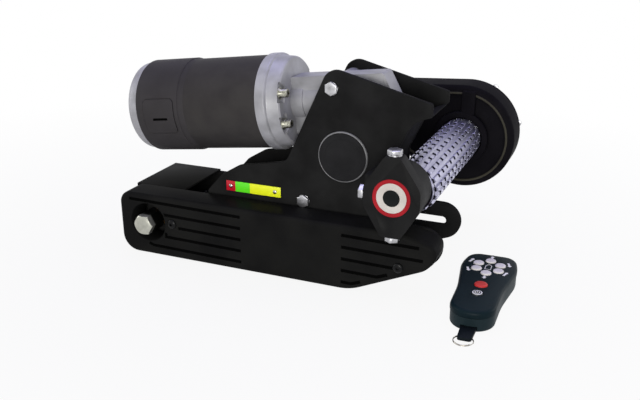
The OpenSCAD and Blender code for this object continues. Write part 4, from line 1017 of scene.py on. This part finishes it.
# The bead is the casing's own plastic given a lighter olive colour: a painted highlight along it.
bead_painted_highlight = moulded_plastic("bead_painted_highlight", (60, 58, 50), (72, 70, 60), 0.3, 0.42, 0.03)
settle(casing_bead, "carriage", "casing_plastic", bead_painted_highlight)
casing_ring = spun_ring("roller_end_ring", [
    (0.0242, 0.0), (0.0288, 0.0), (0.0300, 0.0012), (0.0300, 0.0085), (0.0235, 0.0085), (0.0235, 0.0007)])
ring_place = (roller_x, rib_front, roller_z)
fit(casing_ring, ring_place, rearward, 0.0004, "carriage", "casing_plastic", casing_plastic)
rib_middle = roller_x + 0.0065
rib_half_w = 0.00725
rib_shape = oblong(rib_middle - rib_half_w, roller_z + 0.0275,
                   rib_middle + rib_half_w, roller_z + casing_r - 0.005)
casing_rib = cut_out("casing_rib", rib_shape, rib_front + 0.001, casing_front + 0.003)
ease(casing_rib, 0.001, 3)
settle(casing_rib, "carriage", "casing_plastic", casing_plastic)
recoat("casing_cover", "casing_lid", 0.0012, "carriage", "casing_plastic", casing_plastic, 3)
recoat("casing_bolts", "casing_lid_bolts", 0.0003, "carriage", "zinc_bolts", zinc)

# Handset shells: two blue-black ABS shells that meet at a seam round the side, the upper one with a
# broad soft edge and round holes for the keys. White arrows are printed round the direction keys.
key_middle = middle_of("key_forward")
handset_axis = (key_middle - middle_of("power_button")).normalized()
handset_turn = math.atan2(handset_axis.y, handset_axis.x)
key_reach = 0.0456
handset_middle = key_middle - handset_axis * key_reach
handset_middle.z = 0.0
handset_half = 0.0625
seam_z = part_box("handset_base")[1].z
seam_low, seam_high = seam_z - 0.0003, seam_z + 0.0003
top_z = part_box("handset_top")[1].z
shell_wall, shell_floor = 0.002, 0.0023
half_corners = [(-handset_half, 0.020, 0.0185), (-0.012, 0.0205, 0.180), (0.0365, 0.027, 0.060),
                (handset_half, 0.022, 0.014)]
handset_corners = [(x, -y, r) for x, y, r in half_corners] + half_corners[::-1]


def lay_on_handset(piece, x=0.0, y=0.0):
    """Moves a piece made in the handset's own coordinates to where the handset lies."""
    place = handset_middle + Matrix.Rotation(handset_turn, 3, "Z") @ Vector((x, y, 0.0))
    return put(piece, place, (0.0, 0.0, handset_turn))


def lay_flat(piece):
    """Tips a plate cut out along Y over, so that Y becomes its height."""
    return put(piece, (0.0, 0.0, 0.0), (math.pi / 2, 0.0, 0.0))


def shrunk(corners, amount):
    """The same outline a little smaller."""
    return [(x - math.copysign(amount, x), y - math.copysign(amount, y), r) for x, y, r in corners]


handset_plastic = moulded_plastic("handset_plastic", (13, 26, 31), (19, 33, 38), 0.34, 0.46, 0.05)
# The lower shell is the upper shell's blue-black plastic made a little lighter: a painted sheen along its
# side.
lower_plastic_sheen = moulded_plastic("handset_lower_plastic_sheen", (27, 39, 43), (35, 47, 51), 0.4, 0.52, 0.06)
lower_path = rounded(shrunk(handset_corners, 0.0004), 12)
lower_shell = cut_out("handset_lower_shell", lower_path, 0.0, seam_low)
round_over(lower_shell, at_y(0.0), 0.0028, 4)
hollow(lower_shell, at_y(seam_low), shell_wall, shell_floor - seam_z)
lay_flat(lower_shell)
tab_slot = oblong(-handset_half - 0.003, 0.0021, -handset_half + 0.0045, 0.0057)
tab_half_w = 0.0073
carve(lower_shell, cut_out("tab_cutter", tab_slot, -tab_half_w, tab_half_w))
settle(lay_on_handset(lower_shell), "handset", "handset_shell", lower_plastic_sheen, "handset_base")

upper_shell = cut_out("handset_upper_shell", rounded(handset_corners, 12), seam_high, top_z)
round_over(upper_shell, at_y(top_z), 0.0036, 6)
hollow(upper_shell, at_y(seam_high), shell_wall, top_z - shell_wall - seam_high)
lay_flat(upper_shell)
key_x = 0.0316
key_r, stop_r = 0.005, 0.006
key_ring = 0.014
key_lean = 0.0062
key_side = 0.0103
button_places = {
    "key_forward": (key_x + key_ring, 0.0, key_r), "key_back": (key_x - key_ring, 0.0, key_r),
    "key_front_left": (key_x + key_lean, key_side, key_r),
    "key_front_right": (key_x + key_lean, -key_side, key_r),
    "key_rear_left": (key_x - key_lean, key_side, key_r),
    "key_rear_right": (key_x - key_lean, -key_side, key_r),
    "stop_button": (-0.0082, 0.0, stop_r), "power_button": (-0.0268, 0.0, key_r)}
hole_cutters = []
for hole_x, hole_y, hole_r in button_places.values():
    mouth_r = hole_r + 0.0011
    hole = turned("hole_cutter", [
        (top_z - 0.004, hole_r + 0.0003), (top_z - 0.0004, hole_r + 0.0003), (top_z + 0.0004, mouth_r),
        (top_z + 0.001, mouth_r)], 48)
    stand(hole, (hole_x, hole_y, 0.0), (0.0, 0.0, 1.0))
    hole_cutters.append(hole)
carve(upper_shell, weld("hole_cutters", hole_cutters))
settle(lay_on_handset(upper_shell), "handset", "handset_shell", handset_plastic, "handset_top")
dress(moulded_plastic("board_laminate", (24, 82, 48), (34, 100, 60), 0.35, 0.5), "circuit_board")

# Printed marks: white direction arrows round the keys and a small outline of a trailer between them.
# They are pad-printed on the upper shell, so they stand out by a hair.
mark_white = moulded_plastic("printed_white", (244, 243, 236), (252, 251, 245), 0.45, 0.55)
mark_thick = 0.00012


def printed(name, path):
    """A thin printed shape on top of the handset, from an outline in its own coordinates."""
    mark = lay_flat(cut_out(name, [(x, -y) for x, y in path], top_z - 0.0002, top_z + mark_thick))
    settle(lay_on_handset(mark), "handset", "pale_key", mark_white)


def arrow(tail, tip, width=0.0020, head=0.0044):
    """The outline of a short arrow."""
    start, end = Vector(tail), Vector(tip)
    way = (end - start).normalized()
    side = Vector((-way.y, way.x))
    neck = end - way * head * 0.55
    return [start + side * width / 2, neck + side * width / 2, neck + side * head / 2, end,
            neck - side * head / 2, neck - side * width / 2, start - side * width / 2]


arrow_lines = {
    "arrow_forward": ((key_x + 0.0204, 0.0), (key_x + 0.0256, 0.0)),
    "arrow_back": ((key_x - 0.0204, 0.0), (key_x - 0.0262, 0.0)),
    "arrow_front_left": ((key_x + 0.0064, 0.0192), (key_x + 0.0146, 0.0164)),
    "arrow_front_right": ((key_x + 0.0146, -0.0164), (key_x + 0.0064, -0.0192)),
    "arrow_rear_left": ((key_x - 0.0064, 0.0188), (key_x - 0.0142, 0.0160)),
    "arrow_rear_right": ((key_x - 0.0142, -0.0160), (key_x - 0.0064, -0.0188))}
for arrow_name, (arrow_tail, arrow_tip) in arrow_lines.items():
    printed(arrow_name, arrow(arrow_tail, arrow_tip))
trailer_line = [(key_x - 0.0052, -0.0027), (key_x - 0.0052, 0.0027), (key_x + 0.0028, 0.0027),
                (key_x + 0.0058, 0.0), (key_x + 0.0028, -0.0027), (key_x - 0.0052, -0.0027)]
printed("trailer_outline", ribbon(trailer_line, 0.0005))
lamp = turned("handset_lamp", [
    (top_z - 0.001, 0.0011), (top_z + 0.0001, 0.0011), (top_z + 0.0003, 0.0007),
    (top_z + 0.0003, 0.0003)], 24)
lamp_dark = moulded_plastic("lamp_dark", (10, 12, 13), (18, 20, 22), 0.12, 0.2, 0.5)
settle(lay_on_handset(lamp, key_x + 0.0272, 0.0), "handset", "dark_key", lamp_dark)

# Handset buttons: soft domed keys moulded in pale grey silicone, a red stop button and a dark power
# button with a ring and bar. Each has a flange under the shell and springs back on the board.
pale_silicone = moulded_plastic("pale_silicone", (224, 220, 214), (238, 234, 228), 0.5, 0.62, 0.1, 900.0)
red_silicone = moulded_plastic("red_silicone", (198, 42, 38), (216, 54, 48), 0.42, 0.54, 0.35, 900.0)
dark_silicone = moulded_plastic("dark_silicone", (18, 26, 30), (27, 36, 40), 0.42, 0.54, 0.35, 900.0)
button_finishes = {"stop_button": (red_silicone, "red_key"), "power_button": (dark_silicone, "dark_key")}
for button_node, (button_x, button_y, dome_r) in button_places.items():
    button_low, button_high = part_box(button_node)
    foot, crown = button_low.z, button_high.z
    dome = turned(button_node + "_dome", [
        (foot, dome_r + 0.0008), (foot + 0.0016, dome_r + 0.0008), (foot + 0.0016, dome_r),
        (crown - 0.0007, dome_r), (crown - 0.0003, dome_r - 0.0004), (crown - 0.0001, dome_r - 0.0010),
        (crown, dome_r - 0.0019)], 48)
    smooth(dome, 50.0)
    lay_on_handset(dome, button_x, button_y)
    dome_finish, dome_slot = button_finishes.get(button_node, (pale_silicone, "pale_key"))
    settle(dome, button_node + "_body", dome_slot, dome_finish, button_node)
power_x = button_places["power_button"][0]
power_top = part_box("power_button")[1].z
symbol_ring = spun_ring("power_ring", [
    (0.0036, power_top - 0.0006), (0.0044, power_top - 0.0006), (0.0044, power_top - 0.0001),
    (0.0036, power_top)], 48)
symbol_arc = spun_ring("power_arc", oblong(0.0018, power_top - 0.0005, 0.0024, power_top + mark_thick), 48)
gap_shape = oblong(0.0, -0.0009, 0.004, 0.0009)
carve(symbol_arc, lay_flat(cut_out("arc_gap_cutter", gap_shape, power_top - 0.002, power_top + 0.002)))
bar_shape = oblong(0.0002, -0.0003, 0.0027, 0.0003)
symbol_bar = lay_flat(cut_out("power_bar", bar_shape, power_top - 0.0005, power_top + mark_thick))
for symbol in (symbol_ring, symbol_arc, symbol_bar):
    settle(lay_on_handset(symbol, power_x, 0.0), "power_button_body", "pale_key", mark_white)

# Strap tab and split ring: a black rubber tab comes out of the handset's end and holds a sprung
# steel ring of nearly two turns of wire, for a lanyard or a key.
strap_rubber = moulded_plastic("strap_rubber", (14, 19, 23), (22, 28, 32), 0.5, 0.62, 0.05)
recoat("strap_tab", "rubber_strap_tab", 0.0006, "handset", "strap", strap_rubber)
ring_low, ring_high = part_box("split_ring")
wire_r = 0.00038
ring_turns = 1.9
ring_mean = (ring_high.x - ring_low.x) / 2 - 0.0008
split_ring = drawn_circle("sprung_split_ring", 12, wire_r)
put(split_ring, (ring_mean, 0.0, -wire_r * ring_turns), (math.pi / 2, 0.0, 0.0))
work_in(split_ring, "SCREW", angle=2 * math.pi * ring_turns, screw_offset=2 * wire_r * ring_turns, steps=120,
        render_steps=120, axis="Z")
put(split_ring, middle_of("split_ring"))
open_up()
close_up(merge=True)
smooth(split_ring, 50.0)
ring_wire = machined_metal("ring_wire_steel", (150, 146, 138), (190, 186, 178), (20.0, 20.0, 20.0), 0.2, 0.3)
settle(split_ring, "ring", "ring_steel", ring_wire, "split_ring")
